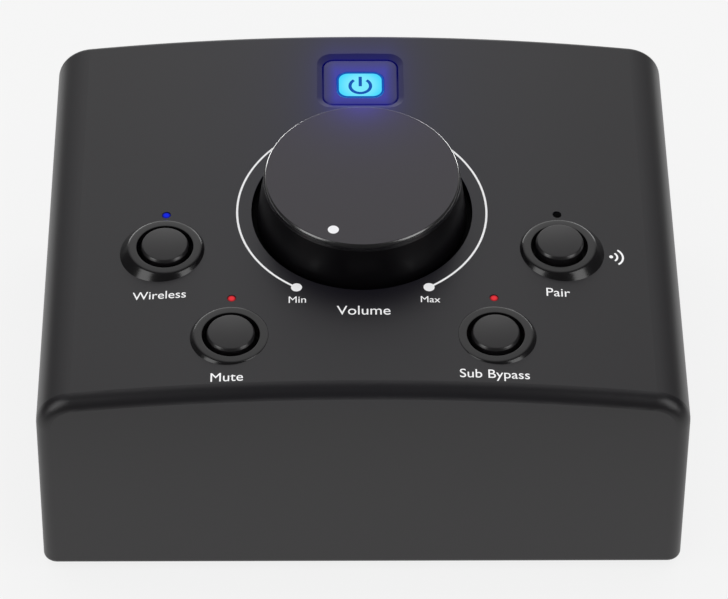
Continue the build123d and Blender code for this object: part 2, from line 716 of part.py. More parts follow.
def shaft_section(radius: float, flat: float, low: float, high: float):
    """D-shaped shaft: a rod with one side cut flat."""
    cut = Pos(0, flat + radius, 0) * slab(2 * radius, 2 * radius, low, high)
    return rod(radius, low, high) - cut


def make_knob_skirt():
    """Knob body: leaning side, roof, hub with a D-shaped bore and ribs."""
    top = KNOB_HEIGHT - KNOB_CAP_THICKNESS
    roof = top - KNOB_WALL
    low = -KNOB_SKIRT_BELOW
    outside = cone(knob_radius(low), knob_radius(top), low, top)
    inside = cone(knob_radius(low) - KNOB_WALL, knob_radius(roof) - KNOB_WALL, low, roof)
    hub = rod(KNOB_HUB_RADIUS, KNOB_HUB_LIFT, top - KNOB_WALL / 2)
    length = knob_radius(roof) - KNOB_WALL / 2
    rib = slab(length, KNOB_RIB_THICKNESS, KNOB_RIB_RISE, top - KNOB_WALL / 2)
    rib = Pos(length / 2, 0, 0) * rib
    skirt = outside - inside + hub
    for turn in range(KNOB_RIB_COUNT):
        skirt += Rot(0, 0, 360 * turn / KNOB_RIB_COUNT) * rib
    bore_top = SHAFT_REACH + RUNNING_CLEARANCE
    bore = shaft_section(SHAFT_RADIUS + RUNNING_CLEARANCE, SHAFT_FLAT, KNOB_HUB_LIFT, bore_top)
    return knob_place() * (skirt - bore)


def pointer_rod():
    """The pointer dot's own solid, about the knob axis."""
    return Pos(0, -POINTER_DISTANCE, 0) * rod(
        POINTER_RADIUS, KNOB_HEIGHT - POINTER_DEPTH, KNOB_HEIGHT
    )


def make_knob_cap():
    """Top disc of the knob, with a bevelled edge and a pocket for the pointer dot."""
    low = KNOB_HEIGHT - KNOB_CAP_THICKNESS
    middle = KNOB_HEIGHT - KNOB_CAP_BEVEL
    disc = cone(knob_radius(low), knob_radius(middle), low, middle)
    disc += cone(knob_radius(middle), KNOB_TOP_RADIUS - KNOB_CAP_BEVEL, middle, KNOB_HEIGHT)
    return knob_place() * (disc - pointer_rod())


def make_knob_pointer():
    """White pointer dot, flush with the knob's top."""
    return knob_place() * pointer_rod()


def pot_floor() -> float:
    """Height of the floor inside the potentiometer."""
    return BOARD_TOP + POT_WALL


def wiper_low() -> float:
    """Height of the wiper disc's underside."""
    return pot_floor() + TRACK_THICKNESS + WIPER_GAP


def stop_sector(low: float, high: float):
    """Sector at the rim of the wiper, used for the lug and for the housing's stop."""
    angle = (360 - TRAVEL) / 2 - STOP_PLAY
    section = Plane.XZ * Pos(WIPER_RADIUS - STOP_LENGTH / 2, (low + high) / 2)
    profile = section * Rectangle(STOP_LENGTH, high - low)
    return Rot(0, 0, -angle / 2) * revolve(profile, Axis.Z, angle)


def make_pot_housing():
    """Potentiometer housing between the control board and the knob well."""
    roof = WELL_UNDERSIDE - POT_WALL
    housing = slab(POT_WIDTH, POT_WIDTH, BOARD_TOP, WELL_UNDERSIDE)
    housing -= rod(WIPER_RADIUS + POT_WALL / 2, pot_floor(), roof)
    housing -= rod(BUSHING_RADIUS, roof, WELL_UNDERSIDE)
    stop_low = wiper_low() + WIPER_THICKNESS + WIPER_GAP
    stop = Rot(0, 0, LUG_ANGLE + (360 - TRAVEL) / 2) * stop_sector(stop_low, roof)
    bridge = Rot(0, 0, LUG_ANGLE + (360 - TRAVEL) / 2) * Pos(WIPER_RADIUS, 0, 0)
    bridge *= slab(STOP_LENGTH, STOP_LENGTH, stop_low, roof)
    return on_panel(0, KNOB_V) * housing + knob_place() * (stop + bridge)


def make_pot_bushing():
    """Threaded bushing that guides the shaft."""
    low = WELL_UNDERSIDE - POT_WALL
    bushing = tube(BUSHING_RADIUS, SHAFT_RADIUS + RUNNING_CLEARANCE, low, BUSHING_HEIGHT)
    return on_panel(0, KNOB_V) * bushing


def make_pot_washer():
    """Washer under the potentiometer's nut."""
    low = -WELL_DEPTH
    return on_panel(0, KNOB_V) * tube(WASHER_RADIUS, BUSHING_RADIUS, low, low + WASHER_THICKNESS)


def make_pot_nut():
    """Nut that clamps the potentiometer to the knob well."""
    low = -WELL_DEPTH + WASHER_THICKNESS
    nut = hexagon(NUT_ACROSS_FLATS, low, low + NUT_THICKNESS)
    return on_panel(0, KNOB_V) * (nut - rod(BUSHING_RADIUS, low, low + NUT_THICKNESS))


def make_pot_shaft():
    """Shaft with a D-shaped end and a collar under the bushing."""
    roof = WELL_UNDERSIDE - POT_WALL
    round_top = BUSHING_HEIGHT + KNOB_HUB_LIFT
    shaft = rod(SHAFT_RADIUS, wiper_low(), round_top - RUNNING_CLEARANCE)
    shaft += shaft_section(SHAFT_RADIUS, SHAFT_FLAT, BUSHING_HEIGHT, SHAFT_REACH)
    shaft += rod(SHAFT_COLLAR_RADIUS, roof - WIPER_GAP - WIPER_THICKNESS, roof - WIPER_GAP)
    return knob_place() * shaft


def make_pot_wiper():
    """Wiper disc on the shaft, with its stop lug and contact pad."""
    low = wiper_low()
    high = low + WIPER_THICKNESS
    disc = tube(WIPER_RADIUS, SHAFT_RADIUS, low, high)
    lug = Rot(0, 0, LUG_ANGLE) * stop_sector(high, high + STOP_HEIGHT)
    middle = (TRACK_INNER + TRACK_OUTER) / 2
    pad = Pos(0, -middle, 0) * rod(WIPER_PAD_RADIUS, low - WIPER_GAP + RUNNING_CLEARANCE, low)
    return knob_place() * (disc + lug + pad)


def make_pot_track():
    """Resistance track on the potentiometer's floor."""
    low = pot_floor()
    return on_panel(0, KNOB_V) * tube(TRACK_OUTER, TRACK_INNER, low, low + TRACK_THICKNESS)


# ---- round push buttons ----
def latch_depth(button: Button) -> float:
    """How far a latched button stands in from its outer position."""
    return BUTTON_LATCH_DEPTH if button.latched else 0.0


def cap_top(button: Button) -> float:
    """Height of a cap's top at rest."""
    height = BUTTON_OUT_HEIGHT - COLLAR_RING_DEPTH
    return height - latch_depth(button)


def cap_bottom(button: Button) -> float:
    """Height of a cap's underside at rest."""
    return cap_top(button) - BUTTON_OUT_HEIGHT - BUTTON_BODY_BELOW


def make_collar(button: Button):
    """Flared ring round a button: a cone that meets the arched panel, and a tube below it."""
    depth = COLLAR_TUBE_DEPTH
    low_radius = COLLAR_RING_RADIUS + COLLAR_FLARE * (depth - COLLAR_RING_DEPTH)
    place = on_panel(button.x, button.v)
    flare = place * cone(low_radius, COLLAR_RING_RADIUS, -depth, -COLLAR_RING_DEPTH) - arch()
    sleeve = place * rod(COLLAR_TUBE_RADIUS, -depth, -COLLAR_RING_DEPTH)
    return flare + sleeve - place * rod(BUTTON_HOLE_RADIUS, -depth, KNOB_HEIGHT)


def make_cap(button: Button):
    """Round button cap with a retaining flange and a socket for its plunger."""
    low, high = cap_bottom(button), cap_top(button)
    cap = rod(BUTTON_CAP_RADIUS, low, high)
    cap = fillet(cap.edges().group_by(Axis.Z)[-1], BUTTON_EDGE_RADIUS)
    cap += rod(BUTTON_FLANGE_RADIUS, low, low + BUTTON_FLANGE_THICKNESS)
    cap -= rod(PLUNGER_RADIUS, low, low + PLUNGER_SOCKET)
    return on_panel(button.x, button.v) * cap


def plunger(cap_low: float, travel: float):
    """Plunger from a cap's socket down into its switch, clear of the floor at full travel."""
    low = BOARD_TOP + SWITCH_FLOOR + travel
    return rod(PLUNGER_RADIUS, low, cap_low + PLUNGER_SOCKET)


def switch_body():
    """Switch housing on the control board, bored for its plunger."""
    bore = rod(PLUNGER_RADIUS + RUNNING_CLEARANCE, BOARD_TOP + SWITCH_FLOOR, SWITCH_TOP)
    return slab(SWITCH_WIDTH, SWITCH_WIDTH, BOARD_TOP, SWITCH_TOP) - bore


def return_spring(cap_low: float):
    """Coil spring between a switch and the cap above it."""
    low = SWITCH_TOP + SPRING_WIRE_RADIUS + SPRING_SEAT
    height = cap_low - SPRING_WIRE_RADIUS - SPRING_SEAT - low
    path = Helix(height / SPRING_TURNS, height, SPRING_COIL_RADIUS)
    section = Plane(origin=path @ 0, z_dir=path % 0) * Circle(SPRING_WIRE_RADIUS)
    return Pos(0, 0, low) * sweep(section, path=path, is_frenet=True)


def make_light_pipe(button: Button):
    """Light pipe from a status light up to the panel's surface."""
    drop = arch_drop(button.x)
    low = BOARD_TOP + STATUS_LIGHT_HEIGHT + LIGHT_GAP
    collar_top = -arch_drop(abs(button.x) + LIGHT_PIPE_COLLAR) - PANEL_THICKNESS
    pipe = rod(LIGHT_PIPE_RADIUS, low, -drop)
    pipe += rod(LIGHT_PIPE_COLLAR, collar_top - LIGHT_PIPE_COLLAR_THICKNESS, collar_top)
    return on_panel(button.x, button.v + INDICATOR_RISE) * pipe


def make_status_lights() -> Compound:
    """Surface-mounted lights under the light pipes and under the power button's window."""
    chip = slab(STATUS_LIGHT_WIDTH, STATUS_LIGHT_WIDTH, BOARD_TOP, BOARD_TOP + STATUS_LIGHT_HEIGHT)
    places = [on_panel(b.x, b.v + INDICATOR_RISE) for b in BUTTONS.values()]
    places.append(on_panel(0, POWER_V - WINDOW_SHIFT))
    return group(place * chip for place in places)


# ---- power button ----
def power_low() -> float:
    """Height of the power button's underside."""
    return -BUTTON_BODY_BELOW - COLLAR_RING_DEPTH


def window_slab(inset: float, low: float, high: float):
    """Rounded block of the window's outline, moved in by inset."""
    width, length = WINDOW_WIDTH - 2 * inset, WINDOW_LENGTH - 2 * inset
    return Pos(0, -WINDOW_SHIFT, 0) * rounded_slab(width, length, WINDOW_CORNER - inset, low, high)


def power_plunger_place() -> Location:
    """Axis of the power button's plunger, behind its window."""
    return on_panel(0, POWER_V + POWER_PLUNGER_SHIFT)


def make_power_button():
    """Frame of the power button, with its retaining flange, window and plunger socket."""
    low, high = power_low(), -POWER_DEPTH
    frame = rounded_slab(POWER_WIDTH, POWER_LENGTH, POWER_CORNER, low, high)
    flange_top = -PANEL_THICKNESS - POWER_FLANGE_GAP
    size = POWER_WIDTH + 2 * POWER_FLANGE, POWER_LENGTH + 2 * POWER_FLANGE
    flange_low = flange_top - POWER_FLANGE_THICKNESS
    frame += rounded_slab(*size, POWER_CORNER + POWER_FLANGE, flange_low, flange_top)
    frame -= window_slab(0, low, high)
    frame = on_panel(0, POWER_V) * frame
    return frame - power_plunger_place() * rod(PLUNGER_RADIUS, low, low + PLUNGER_SOCKET)


def make_power_lens():
    """Translucent window, flush with the power button's frame."""
    return on_panel(0, POWER_V) * window_slab(0, -POWER_DEPTH - LENS_THICKNESS, -POWER_DEPTH)


def make_power_light_guide():
    """Hollow white guide that carries light up to the lens."""
    low, high = power_low(), -POWER_DEPTH - LENS_THICKNESS
    hollow = window_slab(LIGHT_GUIDE_WALL, low, high - LIGHT_GUIDE_WALL)
    return on_panel(0, POWER_V) * (window_slab(0, low, high) - hollow)


# ---- parts on the boards ----
def header_mid_y() -> float:
    """Where the ribbon's lower header stands on the main board."""
    return MAIN_BOARD_MID_Y - HEADER_WIDTH


def upper_header_place() -> Location:
    """Underside of the control board, above and behind the lower header."""
    return on_panel(0, header_mid_y() + RIBBON_STEP - FRONT_TOP_Y, BOARD_BOTTOM)


def make_board_headers() -> Compound:
    """Connectors at both ends of the ribbon cable."""
    lower = slab(HEADER_LENGTH, HEADER_WIDTH, MAIN_BOARD_TOP, MAIN_BOARD_TOP + HEADER_HEIGHT)
    upper = slab(HEADER_LENGTH, HEADER_WIDTH, -HEADER_HEIGHT, 0)
    return group([Pos(0, header_mid_y(), 0) * lower, upper_header_place() * upper])


def make_ribbon_cable():
    """Flat cable between the two boards, in a gentle S."""
    start = Vector(0, header_mid_y(), MAIN_BOARD_TOP + HEADER_HEIGHT)
    end = (upper_header_place() * Pos(0, 0, -HEADER_HEIGHT)).position
    low = start + Vector(0, 0, RIBBON_LEAD)
    high = end - NORMAL * RIBBON_LEAD
    path = FilletPolyline(start, low, high, end, radius=RIBBON_BEND)
    section = Plane(origin=start, x_dir=(1, 0, 0), z_dir=(0, 0, 1)) * Rectangle(
        RIBBON_WIDTH, RIBBON_THICKNESS
    )
    return sweep(section, path=path, transition=Transition.ROUND)


def make_capacitors() -> Compound:
    """Row of electrolytic capacitors on the main board."""
    can = rod(CAPACITOR_RADIUS, MAIN_BOARD_TOP, MAIN_BOARD_TOP + CAPACITOR_HEIGHT)
    y = header_mid_y() + HEADER_WIDTH + CAPACITOR_RADIUS
    first = -CAPACITOR_PITCH * (CAPACITOR_COUNT - 1) / 2
    return group(Pos(first + CAPACITOR_PITCH * i, y, 0) * can for i in range(CAPACITOR_COUNT))


def make_amplifier_chips() -> Compound:
    """One amplifier chip in front of each large jack."""
    chip = slab(CHIP_WIDTH, CHIP_LENGTH, MAIN_BOARD_TOP, MAIN_BOARD_TOP + CHIP_HEIGHT)
    y = header_mid_y() - HEADER_WIDTH - CHIP_LENGTH
    return group(Pos(x - JACK_XS[2], y, 0) * chip for x in JACK_XS[:CHIP_COUNT])


def make_mute_relays() -> Compound:
    """Two relays that switch the outputs."""
    relay = slab(RELAY_WIDTH, RELAY_LENGTH, MAIN_BOARD_TOP, MAIN_BOARD_TOP + RELAY_HEIGHT)
    x = RADIO_LENGTH / 2 + RELAY_GAP + RELAY_WIDTH / 2
    y = MAIN_BOARD_REAR - MAIN_BOARD_LENGTH + RELAY_LENGTH / 2
    return group(Pos(side * x, y, 0) * relay for side in (-1, 1))


def radio_place() -> Location:
    """Where the wireless module lies, at the front of the main board."""
    front = MAIN_BOARD_REAR - MAIN_BOARD_LENGTH
    return Pos(0, front + RADIO_WIDTH / 2, MAIN_BOARD_TOP)


def make_wireless_module():
    """Small radio board on the main board."""
    return radio_place() * slab(RADIO_LENGTH, RADIO_WIDTH, 0, RADIO_THICKNESS)


def make_wireless_shield():
    """Metal can over the radio circuit, clear of the antenna end."""
    length = RADIO_LENGTH - RADIO_ANTENNA_LENGTH
    high = RADIO_THICKNESS + RADIO_CAN_HEIGHT
    can = slab(length, RADIO_WIDTH - WALL, RADIO_THICKNESS, high)
    return radio_place() * Pos(-RADIO_ANTENNA_LENGTH / 2 + WALL / 4, 0, 0) * can


# ---- the nodes ----
def button_nodes() -> dict:
    """Cap, plunger and return spring of each round button."""
    nodes = {}
    for name, button in BUTTONS.items():
        place = on_panel(button.x, button.v)
        low = cap_bottom(button)
        travel = PRESS_TRAVEL - latch_depth(button)
        nodes[f"{name}_button_cap"] = make_cap(button)
        nodes[f"{name}_plunger"] = place * plunger(low, travel + LIGHT_GAP)
        nodes[f"{name}_spring"] = place * return_spring(low)
    return nodes


def all_nodes() -> dict:
    """Every node of the assembly, by name."""
    power = power_plunger_place()
    places = [on_panel(button.x, button.v) for button in BUTTONS.values()] + [power]
    switches = [place * switch_body() for place in places]
    nodes = {
        "upper_shell": make_upper_shell(),
        "base_plate": make_base_plate(),
        "rear_panel": make_rear_panel(),
        "rubber_feet": make_rubber_feet(),
        "case_screws": group([make_case_screws(), make_rear_screws()]),
        "control_board": make_control_board(),
        "main_board": make_main_board(),
        "board_screws": group([make_control_board_screws(), make_main_board_screws()]),
        "board_standoffs": make_board_standoffs(),
        "button_collars": group(make_collar(button) for button in BUTTONS.values()),
        "button_switches": group(switches),
        "status_lights": make_status_lights(),
        "wireless_light_pipe": make_light_pipe(BUTTONS["wireless"]),
        "pair_light_pipe": make_light_pipe(BUTTONS["pair"]),
        "output_light_pipes": group(make_light_pipe(BUTTONS[name]) for name in OUTPUT_BUTTONS),
        "knob_skirt": make_knob_skirt(),
        "knob_cap": make_knob_cap(),
        "knob_pointer": make_knob_pointer(),
        "pot_housing": make_pot_housing(),
        "pot_bushing": make_pot_bushing(),
        "pot_washer": make_pot_washer(),
        "pot_nut": make_pot_nut(),
        "pot_shaft": make_pot_shaft(),
        "pot_wiper": make_pot_wiper(),
        "pot_track": make_pot_track(),
        "power_button": make_power_button(),
        "power_lens": make_power_lens(),
        "power_light_guide": make_power_light_guide(),
        "power_plunger": power * plunger(power_low(), PRESS_TRAVEL + LIGHT_GAP),
        "power_spring": power * return_spring(power_low()),
        "line_input_jacks": group(make_large_jack(x) for x in JACK_XS[0:2]),
        "main_output_jacks": group(make_large_jack(x) for x in JACK_XS[2:4]),
        "subwoofer_jack": make_large_jack(JACK_XS[4]),
        "mini_jacks": group(make_mini_jack(x) for x in MINI_XS),
        "jack_contacts": make_jack_contacts(),
        "jack_washers": make_jack_washers(),
        "jack_nuts": make_jack_nuts(),
        "power_inlet": make_power_inlet(),
        "power_inlet_pin": make_power_inlet_pin(),
        "board_headers": make_board_headers(),
        "ribbon_cable": make_ribbon_cable(),
        "capacitors": make_capacitors(),
        "amplifier_chips": make_amplifier_chips(),
        "mute_relays": make_mute_relays(),
        "wireless_module": make_wireless_module(),
        "wireless_shield": make_wireless_shield(),
    }
    nodes.update(button_nodes())
    return nodes


os.makedirs("parts", exist_ok=True)
for node, shape in all_nodes().items():
    export_step(shape, f"parts/{node}.step")
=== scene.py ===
"""Dresses the studio monitor controller: surfaces, finishes, printed marks, light and camera.

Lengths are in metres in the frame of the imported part: +X right, +Y to the rear, +Z up. Sizes that
are easier to read in millimetres are written as a number times MM. The middle point of a small
round edge lies at the share KNEE of its radius from both faces.
"""

import json
import logging
import math
from dataclasses import dataclass
from functools import reduce
from typing import Any, Callable, Iterable, Mapping, Sequence

import bmesh
import bpy
import numpy as np
from mathutils import Matrix, Vector


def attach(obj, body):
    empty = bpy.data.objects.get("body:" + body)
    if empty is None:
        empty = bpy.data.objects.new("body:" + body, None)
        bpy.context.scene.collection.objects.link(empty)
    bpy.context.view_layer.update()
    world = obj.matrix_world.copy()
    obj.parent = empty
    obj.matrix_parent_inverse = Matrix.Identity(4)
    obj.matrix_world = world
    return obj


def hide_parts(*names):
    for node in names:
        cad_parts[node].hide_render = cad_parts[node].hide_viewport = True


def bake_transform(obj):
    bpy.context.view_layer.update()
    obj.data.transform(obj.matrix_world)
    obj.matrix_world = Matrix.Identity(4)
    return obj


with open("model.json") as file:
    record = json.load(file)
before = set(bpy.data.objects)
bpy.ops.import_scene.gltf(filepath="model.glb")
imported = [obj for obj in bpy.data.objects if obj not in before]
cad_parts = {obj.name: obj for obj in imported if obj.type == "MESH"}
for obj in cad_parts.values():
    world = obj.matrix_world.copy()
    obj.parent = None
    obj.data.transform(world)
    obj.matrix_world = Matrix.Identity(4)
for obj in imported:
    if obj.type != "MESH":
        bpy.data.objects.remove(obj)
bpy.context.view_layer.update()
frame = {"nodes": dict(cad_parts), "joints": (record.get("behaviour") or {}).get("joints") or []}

MM = 0.001
ARC_STEPS = 6
WELD_DISTANCE = 2e-7
SLIVER = 1e-7
SPAN_GAP = 0.01 * MM
KNEE = 0.3
ROUND_BUTTONS = ("wireless", "pair", "mute", "sub_bypass")
PIPE_COLLAR = 1.7 * MM
LOG = logging.getLogger("monitor_controller")
Colour = tuple[float, float, float]


# ---------------------------------------------------------------- places and surfaces
def floats(values: Iterable[float]) -> tuple[float, ...]:
    """The numbers as a tuple of plain floats."""
    return tuple(float(value) for value in values)


def vertices(mesh: bpy.types.Mesh) -> np.ndarray:
    """A mesh's points.

    Args:
        mesh: the mesh.

    Returns:
        Array n by 3.
    """
    points = np.empty(3 * len(mesh.vertices), np.float32)
    mesh.vertices.foreach_get("co", points)
    return points.reshape(-1, 3)


@dataclass(frozen=True)
class Place:
    """Axes at a point of the part: local points are carried into the part's frame."""

    origin: np.ndarray
    right: np.ndarray
    ahead: np.ndarray
    up: np.ndarray

    def out(self, points: np.ndarray) -> np.ndarray:
        """Local points (last axis x, y, z) in the part's frame."""
        return self.origin + points @ np.stack([self.right, self.ahead, self.up])

    def local(self, points: np.ndarray) -> np.ndarray:
        """Points of the part's frame in these axes."""
        return (points - self.origin) @ np.stack([self.right, self.ahead, self.up]).T

    def moved(self, x: float = 0.0, y: float = 0.0, z: float = 0.0) -> "Place":
        """The same axes at another local point."""
        return Place(self.out(np.array([x, y, z])), self.right, self.ahead, self.up)

    def extent(self, node: str) -> tuple[np.ndarray, np.ndarray]:
        """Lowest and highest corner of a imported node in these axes."""
        points = self.local(vertices(frame["nodes"][node].data))
        return points.min(axis=0), points.max(axis=0)


class Panel:
    """The arched top face, sloping up to the rear, found from the volume knob's joint.

    Its own coordinates start where the knob's axis meets the crest: x to the right, y up the
    slope and z along the crest's normal.
    """

    arch_radius = 552 * MM

    def __init__(self) -> None:
        """Reads the knob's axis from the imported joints."""
        joint = next(joint for joint in frame["joints"] if joint["name"] == "volume_turn")
        up = np.array(joint["axis"], float)
        right = np.array([1.0, 0.0, 0.0])
        self.crest = Place(np.array(joint["pos_m"], float), right, np.cross(up, right), up)

    def drop(self, x: np.ndarray | float) -> np.ndarray | float:
        """How far the arch has fallen below its crest at x: radius less the circle's height."""
        return self.arch_radius - np.sqrt(self.arch_radius**2 - np.square(x))

    def over(self, points: np.ndarray) -> np.ndarray:
        """Flat artwork laid on the arch.

        Args:
            points: array whose last axis is x, y and lift, the height above the surface.

        Returns:
            Points in the part's frame. Each is the arch's point at x and y, moved along the
            arch's normal (x / radius across, the rest up) by its lift.
        """
        x, y, lift = np.moveaxis(points, -1, 0)
        lean = x / self.arch_radius
        height = lift * np.sqrt(1 - lean**2) - self.drop(x)
        return self.crest.out(np.stack([x + lift * lean, y, height], axis=-1))

    def centre(self, node: str) -> tuple[float, float]:
        """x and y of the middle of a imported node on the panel."""
        low, high = self.crest.extent(node)
        return floats((low + high)[:2] / 2)

    def indicator(self, node: str, side: int) -> tuple[float, float]:
        """x and y of an indicator on the panel.

        Args:
            node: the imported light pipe.
            side: -1 or 1 for the left or right one of a pair, 0 for a single one.

        Returns:
            The middle of the pipe, which in a pair is its collar's radius in from the node's side.
        """
        low, high = self.crest.extent(node)
        x = side * (high[0] - PIPE_COLLAR) if side else (low[0] + high[0]) / 2
        return float(x), float((low[1] + high[1]) / 2)

    def indicators(self, node: str, sides: Sequence[int]) -> tuple[tuple[float, ...], ...]:
        """The indicators' middles on the arch, in the part's frame."""
        places = np.array([(*self.indicator(node, side), 0.0) for side in sides])
        return tuple(floats(place) for place in self.over(places))


def directions(count: int) -> np.ndarray:
    """Angles spread evenly round a circle."""
    return np.linspace(0, 2 * math.pi, count, endpoint=False)


def units(angle: np.ndarray) -> np.ndarray:
    """Unit vectors, n by 2, at angles from the x axis."""
    return np.column_stack([np.cos(angle), np.sin(angle)])


def rounded(corners: Sequence[tuple[float, float, float]]) -> np.ndarray:
    """Open outline with arcs at its corners.

    At a corner the arc's centre lies on the bisector, radius / sin(half angle) away, and the arc
    turns from one leg's tangent point to the other's.

    Args:
        corners: x, y and radius of each corner in order, with radius 0 for a sharp one.

    Returns:
        Array of outline points, n by 2.
    """
    table = np.array(corners, float)
    points, radii = table[:, :2], table[:, 2]
    pieces = [points[:1]]
    for before, corner, after, radius in zip(points[:-2], points[1:-1], points[2:], radii[1:-1]):
        if radius <= 0:
            pieces.append(corner[None])
            continue
        back, on = before - corner, after - corner
        back, on = back / np.linalg.norm(back), on / np.linalg.norm(on)
        half = math.acos(float(np.clip(back @ on, -1, 1))) / 2
        middle = corner + (back + on) / np.linalg.norm(back + on) * radius / math.sin(half)
        start, end = (corner + leg * radius / math.tan(half) - middle for leg in (back, on))
        turn = math.acos(float(np.clip(start @ end / radius**2, -1, 1)))
        share = np.linspace(0, 1, ARC_STEPS + 1)[:, None]
        arc = (np.sin((1 - share) * turn) * start + np.sin(share * turn) * end) / math.sin(turn)
        pieces.append(middle + arc)
    pieces.append(points[-1:])
    return np.vstack(pieces)


def rounded_loop(width: float, length: float, corner: float, steps: int = 12) -> np.ndarray:
    """Rounded rectangle as a closed loop: four quarter circles about the corner centres.

    Args:
        width: size along x.
        length: size along y.
        corner: corner radius.
        steps: chords in each quarter circle.

    Returns:
        Array of 4 * (steps + 1) points, anticlockwise from the +x side.
    """
    quarter = np.linspace(0, math.pi / 2, steps + 1)
    angles = (quarter[None, :] + math.pi / 2 * np.arange(4)[:, None]).ravel()
    side_x = np.repeat([1, -1, -1, 1], steps + 1) * (width / 2 - corner)
    side_y = np.repeat([1, 1, -1, -1], steps + 1) * (length / 2 - corner)
    return np.column_stack([side_x, side_y]) + corner * units(angles)


def turned(rows: Iterable[tuple[Any, Any]], segments: int = 128) -> np.ndarray:
    """Surface round the local z axis: each row goes once round it.

    Args:
        rows: radius and height of each row, as numbers or as one value for each direction.
        segments: directions round the axis.

    Returns:
        Grid of local points, one row for each of rows.
    """
    angle = directions(segments)
    return np.stack([
        np.column_stack([radius * np.cos(angle), radius * np.sin(angle), height + 0 * angle])
        for radius, height in rows
    ])


def stacked(loops: Iterable[tuple[np.ndarray, float]]) -> np.ndarray:
    """Grid whose rows are closed loops, each at its own height."""
    rows = [np.column_stack([loop, np.full(len(loop), height)]) for loop, height in loops]
    return np.stack(rows)


def shut(rows: np.ndarray) -> np.ndarray:
    """The rows with one more at each end, drawn together at that end's middle."""
    first, last = (np.broadcast_to(row.mean(axis=0), (1, *row.shape)) for row in rows[[0, -1]])
    return np.concatenate([first, rows, last])


def strip_rows(path: np.ndarray, half: np.ndarray, low: float, high: float) -> np.ndarray:
    """Closed strip along a flat path, as rows of four points: left low and high, right high and low.

    Args:
        path: middle line, n by 2.
        half: half the strip's width at each point, n by 2.
        low: underside's height.
        high: face's height.

    Returns:
        Array n + 2 by 4 by 3.
    """
    sides = np.stack([path + half, path + half, path - half, path - half], axis=1)
    heights = np.broadcast_to(np.array([low, high, high, low]), sides.shape[:2])
    return shut(np.concatenate([sides, heights[..., None]], axis=-1))


class Skin:
    """Collects grids of points into the mesh of one piece."""

    def __init__(self) -> None:
        """Starts with no points."""
        self.points: list[np.ndarray] = []
        self.faces: list[np.ndarray] = []
        self.count = 0

    def grid(self, rows: np.ndarray, closed_rows: bool = False) -> "Skin":
        """Adds a grid whose last column joins the first, with four-sided faces between neighbours.

        Args:
            rows: m by n by 3 array of points.
            closed_rows: whether the last row joins the first.

        Returns:
            This skin, so that calls can follow each other.
        """
        index = self.count + np.arange(rows.shape[0] * rows.shape[1]).reshape(rows.shape[:2])
        if closed_rows:
            index = np.vstack([index, index[:1]])
        index = np.hstack([index, index[:, :1]])
        quads = [index[:-1, :-1], index[:-1, 1:], index[1:, 1:], index[1:, :-1]]
        self.faces.append(np.stack(quads, axis=-1).reshape(-1, 4))
        self.points.append(rows.reshape(-1, 3))
        self.count += rows.shape[0] * rows.shape[1]
        return self

    def lathe(self, place: Place, rows: Iterable[tuple[Any, Any]], segments: int,
              closed_rows: bool = False) -> "Skin":
        """Adds a surface that turned() makes of rows round a place's z axis."""
        return self.grid(place.out(turned(rows, segments)), closed_rows)

    def solid(self, rows: np.ndarray) -> "Skin":
        """Adds a stack of closed loops whose ends are shut by fans about their middles."""
        return self.grid(shut(rows))

    def build(self, name: str, crease: float = 35.0) -> bpy.types.Object:
        """Makes the object from the grids.

        Args:
            name: the piece's name.
            crease: edges that turn by more than this many degrees stay sharp.

        Returns:
            The new object, at the origin.
        """
        mesh = bpy.data.meshes.new(name)
        mesh.from_pydata(np.vstack(self.points).tolist(), [], np.vstack(self.faces).tolist())
        return finished_object(name, mesh, crease)


def finished_object(name: str, mesh: bpy.types.Mesh, crease: float) -> bpy.types.Object:
    """Joins a mesh's doubled points, turns its faces outwards, shades it smooth and links it.

    Args:
        name: the piece's name.
        mesh: its mesh, in the part's frame.
        crease: edges that turn by more than this many degrees stay sharp.

    Returns:
        The new object, at the origin.
    """
    work = bmesh.new()
    work.from_mesh(mesh)
    bmesh.ops.remove_doubles(work, verts=work.verts, dist=WELD_DISTANCE)
    bmesh.ops.dissolve_degenerate(work, edges=work.edges, dist=SLIVER)
    bmesh.ops.recalc_face_normals(work, faces=work.faces)
    work.to_mesh(mesh)
    work.free()
    mesh.shade_smooth()
    mesh.set_sharp_from_angle(angle=math.radians(crease))
    return linked(name, mesh)


def linked(name: str, data: bpy.types.ID) -> bpy.types.Object:
    """Puts data into the scene.

    Args:
        name: the object's name.
        data: a mesh, curve, lamp or camera.

    Returns:
        The new object that shows it.
    """
    item = bpy.data.objects.new(name, data)
    bpy.context.scene.collection.objects.link(item)
    return item


# ---------------------------------------------------------------- shader graphs
def operation(name: str, swapped: bool = False) -> Callable[..., "Signal"]:
    """A method of Signal that adds one Math node.

    Args:
        name: the node's operation.
        swapped: whether the signal is the second value.

    Returns:
        The method, which takes the other value where the operation has two.
    """

    def method(signal: "Signal", *other: Any) -> "Signal":
        """The operation's result."""
        values = (*other, signal) if swapped else (signal, *other)
        return signal.graph.add("ShaderNodeMath", dict(enumerate(values)), operation=name)

    return method


